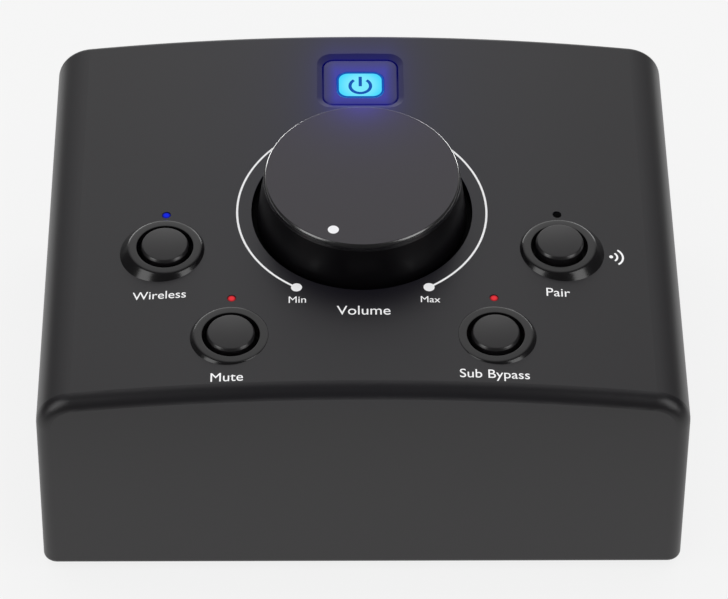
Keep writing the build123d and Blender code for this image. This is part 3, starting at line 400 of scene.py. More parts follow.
class Signal:
    """One output of a shader node. Arithmetic on it adds Math nodes."""

    __add__ = __radd__ = operation("ADD")
    __sub__ = operation("SUBTRACT")
    __rsub__ = operation("SUBTRACT", swapped=True)
    __mul__ = __rmul__ = operation("MULTIPLY")
    __truediv__ = operation("DIVIDE")
    __rtruediv__ = operation("DIVIDE", swapped=True)
    __pow__ = operation("POWER")
    absolute = operation("ABSOLUTE")
    root = operation("SQRT")
    sine = operation("SINE")
    cosine = operation("COSINE")
    lowest = operation("MINIMUM")
    highest = operation("MAXIMUM")

    def __init__(self, graph: "Graph", socket: bpy.types.NodeSocket) -> None:
        """Holds the graph and the socket."""
        self.graph = graph
        self.socket = socket

    def clamped(self) -> "Signal":
        """The signal held between 0 and 1."""
        return self.graph.add("ShaderNodeMath", {0: self, 1: 0.0}, operation="ADD", use_clamp=True)

    def rising(self, start: float, end: float, low: float = 0.0, high: float = 1.0) -> "Signal":
        """A smooth step from low, where the signal is at start or below, to high at end."""
        inputs = {"Value": self, "From Min": start, "From Max": end, "To Min": low, "To Max": high}
        return self.graph.add("ShaderNodeMapRange", inputs, interpolation_type="SMOOTHSTEP", clamp=True)

    def falling(self, start: float, end: float) -> "Signal":
        """1 below start, 0 above end, with a smooth slope between them."""
        return self.rising(start, end, 1.0, 0.0)

    def axes(self) -> tuple["Signal", "Signal", "Signal"]:
        """The three parts of a vector."""
        x = self.graph.add("ShaderNodeSeparateXYZ", {0: self})
        return tuple(Signal(self.graph, socket) for socket in x.socket.node.outputs)


def hypotenuse(across: Signal, ahead: Signal) -> Signal:
    """Distance whose parts at right angles are these two."""
    return (across * across + ahead * ahead).root()


class Graph:
    """The shader nodes of a material or of the world."""

    def __init__(self, tree: bpy.types.NodeTree) -> None:
        """Starts with an empty tree."""
        self.tree = tree
        self.tree.nodes.clear()

    def add(self, kind: str, inputs: Mapping[Any, Any], out: int | str = 0, **settings: Any) -> Signal:
        """Adds a node.

        Args:
            kind: the node's type.
            inputs: a value or a Signal for each socket, by name or number.
            out: name or number of the output that is wanted.
            settings: the node's properties, set first.

        Returns:
            The node's output.
        """
        node = self.tree.nodes.new(kind)
        for key, value in settings.items():
            setattr(node, key, value)
        for key, value in inputs.items():
            if isinstance(value, Signal):
                self.tree.links.new(value.socket, node.inputs[key])
            else:
                node.inputs[key].default_value = value
        return Signal(self, node.outputs[out])

    def show(self, kind: str, shader: Signal) -> None:
        """Links a shader to a new output node of this kind."""
        self.tree.links.new(shader.socket, self.tree.nodes.new(kind).inputs["Surface"])

    def vector_maths(self, name: str, first: Signal, second: Sequence[float]) -> Signal:
        """The number that a Vector Math node makes of a vector and three fixed numbers."""
        return self.add("ShaderNodeVectorMath", {0: first, 1: second}, "Value", operation=name)

    def position(self) -> Signal:
        """Place on the piece, which is its place in the part."""
        return self.add("ShaderNodeTexCoord", {}, "Object")

    def along(self, at: Signal, place: Place, *names: str) -> list[Signal]:
        """Distances of a point from a place's origin.

        Args:
            at: the point.
            place: the place.
            names: which of the place's axes the distances are measured along.

        Returns:
            One distance for each name.
        """
        axes = [getattr(place, name) for name in names]
        return [self.vector_maths("DOT_PRODUCT", at, floats(axis)) - float(place.origin @ axis)
                for axis in axes]

    def noise(self, at: Signal, size: float, detail: float = 2.0) -> Signal:
        """Noise from 0 to 1 whose blotches are about size across."""
        return self.add("ShaderNodeTexNoise", {"Vector": at, "Scale": 1 / size, "Detail": detail})

    def blend(self, share: Signal, first: Signal | Colour, second: Signal | Colour) -> Signal:
        """Colour between first and second.

        Args:
            share: how much of the second there is.
            first: a colour or a signal.
            second: a colour or a signal.

        Returns:
            The mixed colour.
        """
        inputs = {"Factor": share}
        for key, value in ((6, first), (7, second)):
            inputs[key] = value if isinstance(value, Signal) else (*value, 1.0)
        return self.add("ShaderNodeMix", inputs, 2, data_type="RGBA")

    def mixed(self, share: Signal, first: Signal, second: Signal) -> Signal:
        """Shader between first and second."""
        return self.add("ShaderNodeMixShader", {0: share, 1: first, 2: second})

    def rays(self, *names: str) -> Signal:
        """1 for rays of one of these kinds, else 0."""
        kinds = self.add("ShaderNodeLightPath", {}).socket.node.outputs
        return reduce(Signal.highest, (Signal(self, kinds[f"Is {name} Ray"]) for name in names))

    def bump(self, height: Signal, depth: float) -> Signal:
        """Normal of a surface whose height varies by depth."""
        return self.add("ShaderNodeBump", {"Height": height, "Distance": depth, "Strength": 1.0})


class Painted(Graph):
    """A material."""

    def __init__(self, name: str) -> None:
        """Makes the material.

        Args:
            name: its name.
        """
        self.material = bpy.data.materials.new(name)
        self.material.use_nodes = True
        super().__init__(self.material.node_tree)

    def surface(self, sockets: Mapping[str, Any]) -> Signal:
        """A glossy surface shader with these values or signals by socket name."""
        return self.add("ShaderNodeBsdfPrincipled", sockets)

    def finished(self, shader: Signal) -> bpy.types.Material:
        """The material, showing this shader."""
        self.show("ShaderNodeOutputMaterial", shader)
        return self.material


def shade(red: float, green: float, blue: float) -> Colour:
    """A screen colour, 0 to 255, as the linear colour that a shader takes, by the sRGB curve."""
    parts = np.array([red, green, blue]) / 255
    return floats(np.where(parts <= 0.04045, parts / 12.92, ((parts + 0.055) / 1.055) ** 2.4))


# ---------------------------------------------------------------- finishes
@dataclass(frozen=True)
class PaintedGlow:
    """Painted light: the lit power window's blue spill, painted as emission colour on the surfaces
    round it.

    Beyond the window's edge it falls as 1 / (1 + (distance / reach) ** power). Distances up and
    down the slope count for the share squeeze of their length, so that the light carries further
    there. It ends below the panel, between shallow and deep.
    """

    place: Place
    half_width: float
    half_length: float
    colour: Colour = (0.004, 0.004, 0.30)
    reach: float = 1.7 * MM
    power: float = 1.7
    squeeze: float = 0.55
    shallow: float = -3.0 * MM
    deep: float = -7.0 * MM

    def over(self, graph: Graph, at: Signal) -> Signal:
        """The painted light on a surface.

        Args:
            graph: the material's graph.
            at: a point of the surface.

        Returns:
            Colour of the painted light at the point.
        """
        across, ahead, up = graph.along(at, self.place, "right", "ahead", "up")
        across = (across.absolute() - self.half_width).highest(0.0)
        ahead = (ahead.absolute() - self.half_length).highest(0.0) * self.squeeze
        fade = 1 / (1 + (hypotenuse(across, ahead) / self.reach) ** self.power)
        return graph.blend(fade * up.rising(self.deep, self.shallow), (0.0, 0.0, 0.0), self.colour)


@dataclass(frozen=True)
class Finish:
    """A surface with its colour, gloss, fine texture and slow variation.

    texture is the size and the height of its fine bumps in millimetres; mottle is the share by
    which colour and gloss wander over patches of mottle_size.
    """

    name: str
    colour: Colour
    roughness: float
    metallic: float = 0.0
    specular: float = 0.5
    ior: float = 1.5
    coat: float = 0.0
    coat_roughness: float = 0.1
    texture: tuple[float, float] = (0.3, 0.0)
    texture_gloss: float = 0.04
    mottle: float = 0.1
    mottle_size: float = 12 * MM
    mottle_detail: float = 3.0
    slow_share: float = 0.7
    glow: PaintedGlow | None = None

    def make(self) -> bpy.types.Material:
        """The finish as a material."""
        graph = Painted(self.name)
        return graph.finished(self.shader(graph))

    def shader(self, graph: Painted) -> Signal:
        """The surface shader with its colour, gloss and texture.

        Args:
            graph: the material's graph.

        Returns:
            The shader.
        """
        at = graph.position()
        slow = graph.noise(at, self.mottle_size, self.mottle_detail)
        size, depth = (length * MM for length in self.texture)
        fine = graph.noise(at, size)
        gloss = self.roughness * (1 + self.mottle * (slow * 2 - 1)) + self.texture_gloss * (fine - 0.5)
        sockets: dict[str, Any] = {
            "Base Color": self.tinted(graph, at, slow, fine),
            "Roughness": gloss,
            "Metallic": self.metallic,
            "Specular IOR Level": self.specular,
            "IOR": self.ior,
            "Coat Weight": self.coating(graph, at),
            "Coat Roughness": self.coat_roughness,
        }
        if depth > 0:
            sockets["Normal"] = graph.bump(fine, depth)
        # painted light: the power window's spill is painted in here as emission colour
        if self.glow:
            sockets |= {"Emission Color": self.glow.over(graph, at), "Emission Strength": 1.0}
        return graph.surface(sockets)

    def coating(self, graph: Painted, at: Signal) -> Signal | float:
        """Weight of the clear coat at a point."""
        return self.coat

    def tinted(self, graph: Painted, at: Signal, slow: Signal, fine: Signal) -> Signal:
        """Base colour that wanders a little about the finish's own.

        Args:
            graph: the material's graph.
            at: place on the piece, for finishes with a pattern of their own.
            slow: noise over wide patches.
            fine: noise of the texture.

        Returns:
            The colour.
        """
        darker = tuple(value * (1 - self.mottle) for value in self.colour)
        lighter = tuple(min(value * (1 + self.mottle), 1.0) for value in self.colour)
        share = (slow * self.slow_share + fine * (1 - self.slow_share)).clamped()
        return graph.blend(share, darker, lighter)


@dataclass(frozen=True)
class CaseMoulding(Finish):
    """The case's plastic, with painted shade inside the well under the knob: a very dark matt surface
    stands in for the deep shadow there.

    The painted shade starts between shallow and deep below the arch.
    """

    knob: Place | None = None
    arch_radius: float = 552 * MM
    well_radius: float = 24.9 * MM
    well_blend: float = 0.1 * MM
    shallow: float = -0.2 * MM
    deep: float = -0.45 * MM
    painted_well_shade: Colour = (0.0025, 0.0025, 0.003)
    painted_shade_roughness: float = 0.8
    painted_shade_specular: float = 0.1

    def shader(self, graph: Painted) -> Signal:
        """The moulding, mixed with painted shade, very dark and matt, where a point is inside the well.

        Args:
            graph: the material's graph.

        Returns:
            The shader.
        """
        moulding = super().shader(graph)
        across, ahead, up = graph.along(graph.position(), self.knob, "right", "ahead", "up")
        depth = up + across * across / (2 * self.arch_radius)
        inside = hypotenuse(across, ahead).falling(self.well_radius, self.well_radius + self.well_blend)
        # painted shade: the well's walls get a very dark matt surface for the shadow that lies there
        painted_well_shade = graph.surface({
            "Base Color": (*self.painted_well_shade, 1.0),
            "Roughness": self.painted_shade_roughness,
            "Specular IOR Level": self.painted_shade_specular,
        })
        return graph.mixed(inside * depth.falling(self.deep, self.shallow), moulding, painted_well_shade)


@dataclass(frozen=True)
class ButtonMoulding(Finish):
    """The button caps' plastic, with a polish on the bevel round each face."""

    caps: tuple[Place, ...] = ()
    polished_from: float = 4.85 * MM
    blend_width: float = 0.06 * MM

    def coating(self, graph: Painted, at: Signal) -> Signal:
        """The coat, which begins at polished_from from the nearest cap's axis.

        Args:
            graph: the material's graph.
            at: a point of the caps.

        Returns:
            Weight of the coat at the point.
        """
        away = (hypotenuse(*graph.along(at, cap, "right", "ahead")) for cap in self.caps)
        nearest = reduce(Signal.lowest, away)
        return nearest.rising(self.polished_from, self.polished_from + self.blend_width) * self.coat


@dataclass(frozen=True)
class CircuitBoard(Finish):
    """Green solder mask with copper tracks under it."""

    pitch: float = 1.3 * MM
    patch: float = 9 * MM
    copper: Colour = (0.03, 0.16, 0.06)
    track_edge: tuple[float, float] = (0.55, 0.75)
    field_edge: tuple[float, float] = (0.42, 0.5)

    def tinted(self, graph: Painted, at: Signal, slow: Signal, fine: Signal) -> Signal:
        """Stripes along x or y, as a checker of patches chooses, in a lighter green.

        Args:
            graph: the material's graph.
            at: place on the board.
            slow: noise that decides where there are tracks.
            fine: fine noise, not used here.

        Returns:
            The colour.
        """
        x, y, _ = at.axes()
        along = graph.add("ShaderNodeTexChecker", {"Vector": at, "Scale": 1 / self.patch}, "Fac")
        wave = ((x * along + y * (1 - along)) * (2 * math.pi / self.pitch)).sine()
        tracks = wave.rising(*self.track_edge) * slow.rising(*self.field_edge)
        return graph.blend(tracks, self.colour, self.copper)


@dataclass(frozen=True)
class RibbonCable(Finish):
    """Grey ribbon with painted shade in the groove between its wires, and one red wire."""

    pitch: float = 1.27 * MM
    marked: Colour = (0.35, 0.03, 0.03)
    marked_end: tuple[float, float] = (-7.85 * MM, -7.75 * MM)
    painted_groove_shade: float = 0.35
    groove_edge: tuple[float, float] = (-0.9, 0.2)

    def tinted(self, graph: Painted, at: Signal, slow: Signal, fine: Signal) -> Signal:
        """Wires along the ribbon, with painted shade in the grooves between them by a cosine of x; the
        first wire is red.

        Args:
            graph: the material's graph.
            at: place on the ribbon.
            slow: noise over wide patches, not used here.
            fine: fine noise, not used here.

        Returns:
            The colour.
        """
        x, _, _ = at.axes()
        wires = (x * (2 * math.pi / self.pitch)).cosine().rising(*self.groove_edge)
        # painted shade: the grooves between the wires are darkened
        dark = tuple(value * self.painted_groove_shade for value in self.colour)
        grey = graph.blend(wires, dark, self.colour)
        return graph.blend(x.falling(*self.marked_end), grey, self.marked)


@dataclass(frozen=True)
class LitWindow:
    """Clear coloured plastic with light behind it.

    The light fades from core to rim, measured from the nearest centre, or is cloudy where there
    is no centre.
    """

    name: str
    core_colour: Colour
    rim_colour: Colour
    strength: float
    core: float = 0.0
    rim: float = 0.0
    centres: tuple[tuple[float, ...], ...] = ()
    base: Colour = (0.004, 0.004, 0.005)
    roughness: float = 0.45
    specular: float = 0.03
    cloudiness: float = 0.1
    cloud_size: float = 0.6 * MM

    def make(self) -> bpy.types.Material:
        """The window as a material.

        Returns:
            The material.
        """
        graph = Painted(self.name)
        at = graph.position()
        share = cloud = graph.noise(at, self.cloud_size)
        if self.centres:
            away = (graph.vector_maths("DISTANCE", at, centre) for centre in self.centres)
            light = reduce(Signal.lowest, away).falling(self.core, self.rim)
            share = light * (1 - self.cloudiness + self.cloudiness * cloud)
        return graph.finished(graph.surface({
            "Base Color": (*self.base, 1.0),
            "Roughness": self.roughness + self.cloudiness * cloud,
            "Specular IOR Level": self.specular,
            "Emission Color": graph.blend(share, self.rim_colour, self.core_colour),
            "Emission Strength": self.strength,
        }))


class Workshop:
    """All the finishes of the part, by material slot."""

    def __init__(self, panel: Panel) -> None:
        """Chooses each slot's finish.

        Args:
            panel: the panel, which tells where the lights and the knob are.
        """
        low, high = panel.crest.extent("power_lens")
        middle, half = (low + high) / 2, (high - low) / 2
        self.window = panel.crest.moved(middle[0], middle[1], high[2])
        # painted light: the window's blue spill, painted as emission on the case and the power frame
        painted_halo = PaintedGlow(self.window, half[0], half[1])
        blue = panel.indicators("wireless_light_pipe", [0])
        red = panel.indicators("output_light_pipes", [-1, 1])
        plastic = (0.0072, 0.0061, 0.0074)
        caps = tuple(panel.crest.moved(*panel.centre(f"{name}_button_cap")) for name in ROUND_BUTTONS)
        self.finishes: dict[str, Finish | LitWindow] = {
            # the case plastic carries painted light round the power window and painted shade in the
            # knob's well
            "case_plastic": CaseMoulding(
                "satin_charcoal_moulding", plastic, 0.38, specular=0.56, texture=(0.22, 0.003),
                mottle=0.05, mottle_size=30 * MM, glow=painted_halo, knob=panel.crest,
                arch_radius=panel.arch_radius),
            "knob_gloss": Finish("black_skirt", (0.0022, 0.0016, 0.0028), 0.38, specular=0.3),
            "knob_top": Finish("satin_knob_disc", (0.018, 0.0145, 0.020), 0.36, specular=0.56,
                               texture=(0.18, 0.002), mottle=0.05),
            "pointer_white": Finish("white_pointer", (0.86, 0.86, 0.88), 0.4, texture=(0.3, 0.002),
                                    mottle=0.03),
            "button_plastic": ButtonMoulding(
                "satin_button_plastic", plastic, 0.34, specular=0.6, coat=0.75, coat_roughness=0.24,
                texture=(0.18, 0.002), mottle=0.06, caps=caps),
            "collar_gloss": Finish("collar_plastic", (0.0045, 0.004, 0.0048), 0.21, specular=0.6,
                                   texture=(0.2, 0.001), mottle=0.08),
            "power_frame": Finish("power_frame_plastic", plastic, 0.38, specular=0.58,
                                  texture=(0.2, 0.002), mottle=0.05, glow=painted_halo),
            "power_lens": LitWindow("lit_power_window", shade(125, 235, 255), shade(60, 215, 255),
                                    1.0, 2 * MM, 6 * MM, (floats(self.window.origin),)),
            "light_guide": LitWindow("milky_light_guide", (0.7, 0.8, 0.9), (0.6, 0.7, 0.8), 0.7),
            "blue_light": LitWindow("lit_blue_window", shade(12, 36, 228), shade(4, 8, 90), 1.0,
                                    0.35 * MM, 1.0 * MM, blue),
            "red_light": LitWindow("lit_red_window", shade(235, 52, 60), shade(90, 14, 20), 1.0,
                                   0.35 * MM, 1.0 * MM, red),
            "dark_light": Finish("unlit_window", (0.001, 0.001, 0.0012), 0.6, specular=0.02),
            "sheet_steel": Finish("black_powder_coat", (0.02, 0.02, 0.021), 0.55,
                                  texture=(0.35, 0.015), mottle=0.08),
            "rubber": Finish("foot_rubber", (0.018, 0.018, 0.019), 0.75, texture=(0.2, 0.01)),
            "screw_steel": Finish("zinc_plated_steel", (0.55, 0.56, 0.58), 0.3, 1.0,
                                  texture=(0.12, 0.002)),
            "brass": Finish("brass", (0.74, 0.55, 0.25), 0.28, 1.0, texture=(0.12, 0.002)),
            "nickel": Finish("nickel_plate", (0.66, 0.65, 0.62), 0.22, 1.0, texture=(0.15, 0.001)),
            "spring_steel": Finish("spring_steel", (0.5, 0.5, 0.52), 0.32, 1.0),
            "jack_plastic": Finish("jack_plastic", (0.015, 0.015, 0.016), 0.42, texture=(0.25, 0.004)),
            "board": CircuitBoard("circuit_board", (0.008, 0.07, 0.03), 0.35, coat=0.3),
            "chip": Finish("chip_epoxy", (0.02, 0.02, 0.022), 0.5, texture=(0.15, 0.004)),
            "switch_plastic": Finish("switch_plastic", (0.05, 0.05, 0.055), 0.45),
            "plunger_plastic": Finish("plunger_plastic", (0.45, 0.44, 0.4), 0.5),
            "capacitor": Finish("capacitor_sleeve", (0.012, 0.014, 0.03), 0.3, coat=0.3),
            "cable": RibbonCable("ribbon_cable", (0.35, 0.35, 0.37), 0.5),
            "track": Finish("carbon_track", (0.025, 0.024, 0.022), 0.6, texture=(0.1, 0.0)),
        }
        self.rim = Finish("polished_dark_rim", (0.0035, 0.003, 0.0045), 0.24, ior=2.05,
                          coat=0.6, coat_roughness=0.16, mottle=0.05)
        self.ink = Finish("white_print", (0.96, 0.96, 0.97), 0.5, texture=(0.1, 0.002), mottle=0.02)
        self.stroke = LitWindow("blue_window_strokes", shade(8, 92, 185), shade(4, 78, 172), 1.0)
        self.made: dict[str, bpy.types.Material] = {}

    def material(self, slot: str) -> bpy.types.Material:
        """The material of a slot, made once.

        Args:
            slot: the slot's name.

        Returns:
            The material.
        """
        if slot not in self.made:
            self.made[slot] = self.finishes[slot].make()
        return self.made[slot]

    def dress_nodes(self) -> None:
        """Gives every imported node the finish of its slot."""
        for node in frame["nodes"].values():
            for holder in node.material_slots:
                holder.material = self.material(holder.material.name)

    def dress(self, piece: bpy.types.Object, slot: str, body: str, *replaced: str) -> None:
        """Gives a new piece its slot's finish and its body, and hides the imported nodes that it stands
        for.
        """
        self.attach(piece, self.material(slot), slot, body)
        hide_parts(*replaced)

    @staticmethod
    def attach(piece: bpy.types.Object, material: bpy.types.Material, slot: str, body: str) -> None:
        """Gives a piece a material of its own and the body that carries it.

        Args:
            piece: the new object.
            material: its material.
            slot: not used.
            body: the body that carries it.
        """
        piece.data.materials.append(material)
        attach(piece, body)
        LOG.info("made %s on %s", piece.name, body)


# ---------------------------------------------------------------- pieces
@dataclass
class VolumeKnob:
    """The big knob: hollow skirt, satin disc with a polished round edge, white pointer dot."""

    panel: Panel
    wall: float = 2.0 * MM
    hub_radius: float = 5.5 * MM
    hub_low: float = 0.6 * MM
    hub_edge: float = 0.2 * MM
    bore_radius: float = 3.05 * MM
    bore_top: float = 6.45 * MM
    foot_edge: float = 0.4 * MM
    roof_edge: float = 0.5 * MM
    seat_edge: float = 0.12 * MM
    ribs: int = 6
    rib_thickness: float = 1.2 * MM
    rib_low: float = 3.0 * MM
    rib_edge: float = 0.2 * MM
    edge_width: float = 0.55 * MM
    edge_fall: float = 1.1 * MM
    edge_power: float = 1.25
    edge_steps: int = 25
    disc_steps: int = 3
    flat_margin: float = 0.06 * MM
    joint: float = 0.004 * MM
    rim_gap: float = 0.01 * MM
    pointer_crown: float = 0.03 * MM
    pointer_steps: int = 8
    pointer_segments: int = 64
    segments: int = 192
    body: str = "volume_knob"

    def __post_init__(self) -> None:
        """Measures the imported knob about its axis."""
        low, high = self.panel.crest.extent("knob_skirt")
        self.low, self.seat, self.low_radius = low[2], high[2], high[0]
        _, high = self.panel.crest.extent("knob_cap")
        self.top, self.seat_radius = high[2], high[0]

    def radius(self, height: float) -> float:
        """Outer radius of the leaning side: a straight line between the skirt's foot and the disc."""
        share = (height - self.low) / (self.seat - self.low)
        return self.low_radius + (self.seat_radius - self.low_radius) * share

    def make_skirt(self) -> bpy.types.Object:
        """Closed cup, turned about the knob's axis, with a hub and ribs under its roof.

        Returns:
            The skirt.
        """
        crest, roof = self.panel.crest, self.seat - self.wall
        profile = rounded([
            (0, self.seat, 0),
            (self.seat_radius, self.seat, self.seat_edge),
            (self.low_radius, self.low, self.foot_edge),
            (self.low_radius - self.wall, self.low, self.foot_edge),
            (self.radius(roof) - self.wall, roof, self.roof_edge),
            (self.hub_radius, roof, self.roof_edge),
            (self.hub_radius, self.hub_low, self.hub_edge),
            (self.bore_radius, self.hub_low, self.hub_edge),
            (self.bore_radius, self.bore_top, 0),
            (0, self.bore_top, 0),
        ])
        skin = Skin().lathe(crest, profile, self.segments)
        start, end = self.hub_radius - self.wall / 2, self.radius(roof) - self.wall / 2
        rib = rounded_loop(end - start, self.rib_thickness, self.rib_edge, steps=3)
        rib += [(start + end) / 2, 0]
        for right, ahead in units(directions(self.ribs)):
            loop = rib @ np.array([[right, ahead], [-ahead, right]])
            skin.solid(crest.out(stacked([(loop, self.rib_low), (loop, roof + self.wall / 2)])))
        return skin.build("knob_skirt_turned")

    def edge_curve(self) -> np.ndarray:
        """The quarter superellipse from the flat face over to the side.

        Returns:
            Its radii and heights, n by 2.
        """
        turn = np.linspace(0, math.pi / 2, self.edge_steps)
        outer = self.radius(self.top - self.edge_fall)
        across = np.sin(turn) ** self.edge_power
        height = np.clip(np.cos(turn), 0, 1) ** self.edge_power
        return np.column_stack([outer - self.edge_width * (1 - across),
                                self.top - self.edge_fall * (1 - height)])

    def make_disc(self) -> bpy.types.Object:
        """The top disc's satin face, which takes in the start of the round edge.

        Returns:
            The disc.
        """
        edge = self.edge_curve()[: self.disc_steps]
        face = [(0, self.top), (edge[0, 0] - self.flat_margin, self.top)]
        profile = np.vstack([face, edge, [(edge[-1, 0], self.seat), (0, self.seat)]])
        return Skin().lathe(self.panel.crest, profile, self.segments).build("knob_disc", crease=20.0)

    def make_rim(self) -> bpy.types.Object:
        """Polished ring round the disc: the rest of the round edge and the side to the skirt.

        Returns:
            The rim.
        """
        edge = self.edge_curve()[self.disc_steps - 1 :]
        edge[0] += [self.joint, -self.joint]
        foot = self.seat + self.rim_gap
        profile = np.vstack([edge, [(self.seat_radius, foot), (edge[0, 0], foot)]])
        skin = Skin().lathe(self.panel.crest, profile, self.segments, closed_rows=True)
        return skin.build("knob_rim", crease=40.0)

    def make_pointer(self) -> bpy.types.Object:
        """White dot let into the disc, very slightly domed.

        Returns:
            The dot.
        """
        low, high = self.panel.crest.extent("knob_pointer")
        middle, radius = (low + high) / 2, (high[0] - low[0]) / 2
        share = np.linspace(0, 1, self.pointer_steps)
        dome = np.column_stack([radius * share, high[2] + self.pointer_crown * (1 - share**2)])
        profile = np.vstack([dome, [[radius, low[2]], [0, low[2]]]])
        place = self.panel.crest.moved(middle[0], middle[1])
        return Skin().lathe(place, profile, self.pointer_segments).build("knob_pointer_dot")

    def build(self, shop: Workshop) -> tuple[bpy.types.Object, bpy.types.Object]:
        """Makes and dresses the knob's pieces.

        Args:
            shop: the finishes.

        Returns:
            The disc and the rim.
        """
        shop.dress(self.make_skirt(), "knob_gloss", self.body, "knob_skirt")
        disc, rim = self.make_disc(), self.make_rim()
        shop.dress(disc, "knob_top", self.body, "knob_cap")
        shop.attach(rim, shop.rim.make(), "knob_gloss", self.body)
        shop.dress(self.make_pointer(), "pointer_white", self.body, "knob_pointer")
        return disc, rim


@dataclass
class PushButton:
    """A round button: its cap and the flared collar round it."""

    name: str
    panel: Panel
    face_share: float = 0.94
    face_steps: int = 12
    bevel_width: float = 0.34 * MM
    bevel_fall: float = 0.62 * MM
    edge: float = 0.3 * MM
    crown: float = 0.3 * MM
    flange_thickness: float = 0.8 * MM
    flange_edge: float = 0.1 * MM
    socket_radius: float = 1.6 * MM
    socket_depth: float = 2.5 * MM
    cap_radius: float = 5.25 * MM
    hole_radius: float = 6.22 * MM
    lip: float = 0.15 * MM
    flat_start: float = 1.4
    ring_radius: float = 8.0 * MM
    ring_top: float = -0.3 * MM
    ring_edge: float = 0.42 * MM
    ring_steps: int = 6
    flare: float = 0.85
    flare_shares: tuple[float, ...] = (0.35, 0.7, 1.0)
    least_fall: float = 0.02 * MM
    rounds: int = 12
    tube_radius: float = 7.4 * MM
    tube_low: float = -5.2 * MM
    tube_step: float = 0.1 * MM
    sink: float = 0.06 * MM
    segments: int = 144

    def __post_init__(self) -> None:
        """Finds the button on the panel."""
        self.node = f"{self.name}_button_cap"
        self.x, y = self.panel.centre(self.node)
        self.place = self.panel.crest.moved(self.x, y)
        self.low, self.high = self.place.extent(self.node)

    def make_cap(self) -> bpy.types.Object:
        """Cap turned about its axis: crowned face, bevel, flange and plunger socket.

        Returns:
            The cap.
        """
        top, low, flange = self.high[2], self.low[2], self.high[0]
        brim = self.cap_radius - self.bevel_width
        share = np.linspace(0, self.face_share, self.face_steps)
        face = np.column_stack([brim * share, top - self.crown * share**2])
        side = rounded([
            (*face[-1], 0),
            (brim, top - self.crown, self.edge),
            (self.cap_radius, top - self.crown - self.bevel_fall, self.edge),
            (self.cap_radius, low + self.flange_thickness, 0),
            (flange, low + self.flange_thickness, self.flange_edge),
            (flange, low, self.flange_edge),
            (self.socket_radius, low, 0),
            (self.socket_radius, low + self.socket_depth, 0),
            (0, low + self.socket_depth, 0),
        ])
        skin = Skin().lathe(self.place, np.vstack([face[:-1], side]), self.segments)
        return skin.build(f"{self.name}_cap_turned")

    def collar_rows(self) -> np.ndarray:
        """The collar as a closed ring.

        Its flare leaves the flat ring at ring_radius and grows by flare for each unit of fall. Where
        it meets the arch depends on the direction, so the fall is found by repeated substitution:
        fall = ring's height above the arch at that radius, radius = ring_radius + flare * fall. The
        edge between ring and flare is a quadratic curve from the ring through its corner to the
        flare.

        Returns:
            Closed grid of local points.
        """
        top, lip, ring = self.ring_top, self.lip, self.ring_radius
        angle = directions(self.segments)
        fall = np.zeros_like(angle)
        for _ in range(self.rounds):
            surface = -self.panel.drop(self.x + (ring + self.flare * fall) * np.cos(angle))
            fall = np.clip(top - surface, self.least_fall, None)
        foot = ring + self.flare * fall
        edge_share = np.clip(self.ring_edge / fall, 0, 0.5)
        knee = ring + (foot - ring) * edge_share
        rows: list[tuple[Any, Any]] = [
            (self.hole_radius, self.tube_low),
            (self.hole_radius, top - lip),
            (self.hole_radius + KNEE * lip, top - KNEE * lip),
            (self.hole_radius + lip, top),
            (self.hole_radius + self.flat_start * lip, top),
        ]
        for share in np.linspace(0, 1, self.ring_steps):
            start, corner, end = (1 - share) ** 2, 2 * share * (1 - share), share**2
            radius = start * (ring - self.ring_edge) + corner * ring + end * knee
            rows.append((radius, top - end * fall * edge_share))
        for share in self.flare_shares:
            along = edge_share + (1 - edge_share) * share
            rows.append((ring + (foot - ring) * along, top - fall * along))
        low = top - fall - self.sink
        rows += [(foot, low), (self.tube_radius, low - self.tube_step)]
        return turned([*rows, (self.tube_radius, self.tube_low)], self.segments)


@dataclass
class ButtonRow:
    """The four buttons with their collars and indicator windows."""

    panel: Panel
    stem: float = 0.95 * MM
    dome: float = 0.14 * MM
    dome_sink: float = 0.18 * MM
    dome_steps: int = 9
    ledge_depth: float = 2.5 * MM
    ledge_thickness: float = 0.6 * MM
    segments: int = 48

    def build(self, shop: Workshop) -> bpy.types.Object:
        """Makes and dresses caps, collars and indicator windows.

        Args:
            shop: the finishes.

        Returns:
            The collars.
        """
        collars = Skin()
        for name in ROUND_BUTTONS:
            button = PushButton(name, self.panel)
            shop.dress(button.make_cap(), "button_plastic", f"{name}_button", button.node)
            collars.grid(button.place.out(button.collar_rows()), closed_rows=True)
        piece = collars.build("button_collars_flared", crease=25.0)
        shop.dress(piece, "collar_gloss", "case", "button_collars")
        self.build_windows(shop)
        return piece

    def build_windows(self, shop: Workshop) -> None:
        """Makes the light pipes with domed ends.

        Args:
            shop: the finishes.
        """
        windows = {
            "wireless_light_pipe": ("blue_light", [0]),
            "pair_light_pipe": ("dark_light", [0]),
            "output_light_pipes": ("red_light", [-1, 1]),
        }
        for node, (slot, sides) in windows.items():
            skin = Skin()
            for side in sides:
                skin.grid(self.window_rows(node, side))
            shop.dress(skin.build(f"{node}_domed"), slot, "case", node)

    def window_rows(self, node: str, side: int) -> np.ndarray:
        """A light pipe: stem, retaining collar and a domed end just below the panel.

        Args:
            node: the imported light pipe.
            side: -1 or 1 for the left or right one of a pair, 0 for a single one.

        Returns:
            Grid of points in the part's frame.
        """
        low, _ = self.panel.crest.extent(node)
        x, y = self.panel.indicator(node, side)
        stem, rim = self.stem, -float(self.panel.drop(x)) - self.dome_sink
        ledge = -float(self.panel.drop(abs(x) + PIPE_COLLAR)) - self.ledge_depth
        share = np.linspace(0, math.pi / 2, self.dome_steps)
        crown = np.column_stack([stem * np.sin(share), rim + self.dome * np.cos(share)])
        under = ledge - self.ledge_thickness
        foot = [(stem, ledge), (PIPE_COLLAR, ledge), (PIPE_COLLAR, under), (stem, under),
                (stem, low[2]), (0, low[2])]
        return self.panel.crest.moved(x, y).out(turned([*crown, *foot], self.segments))


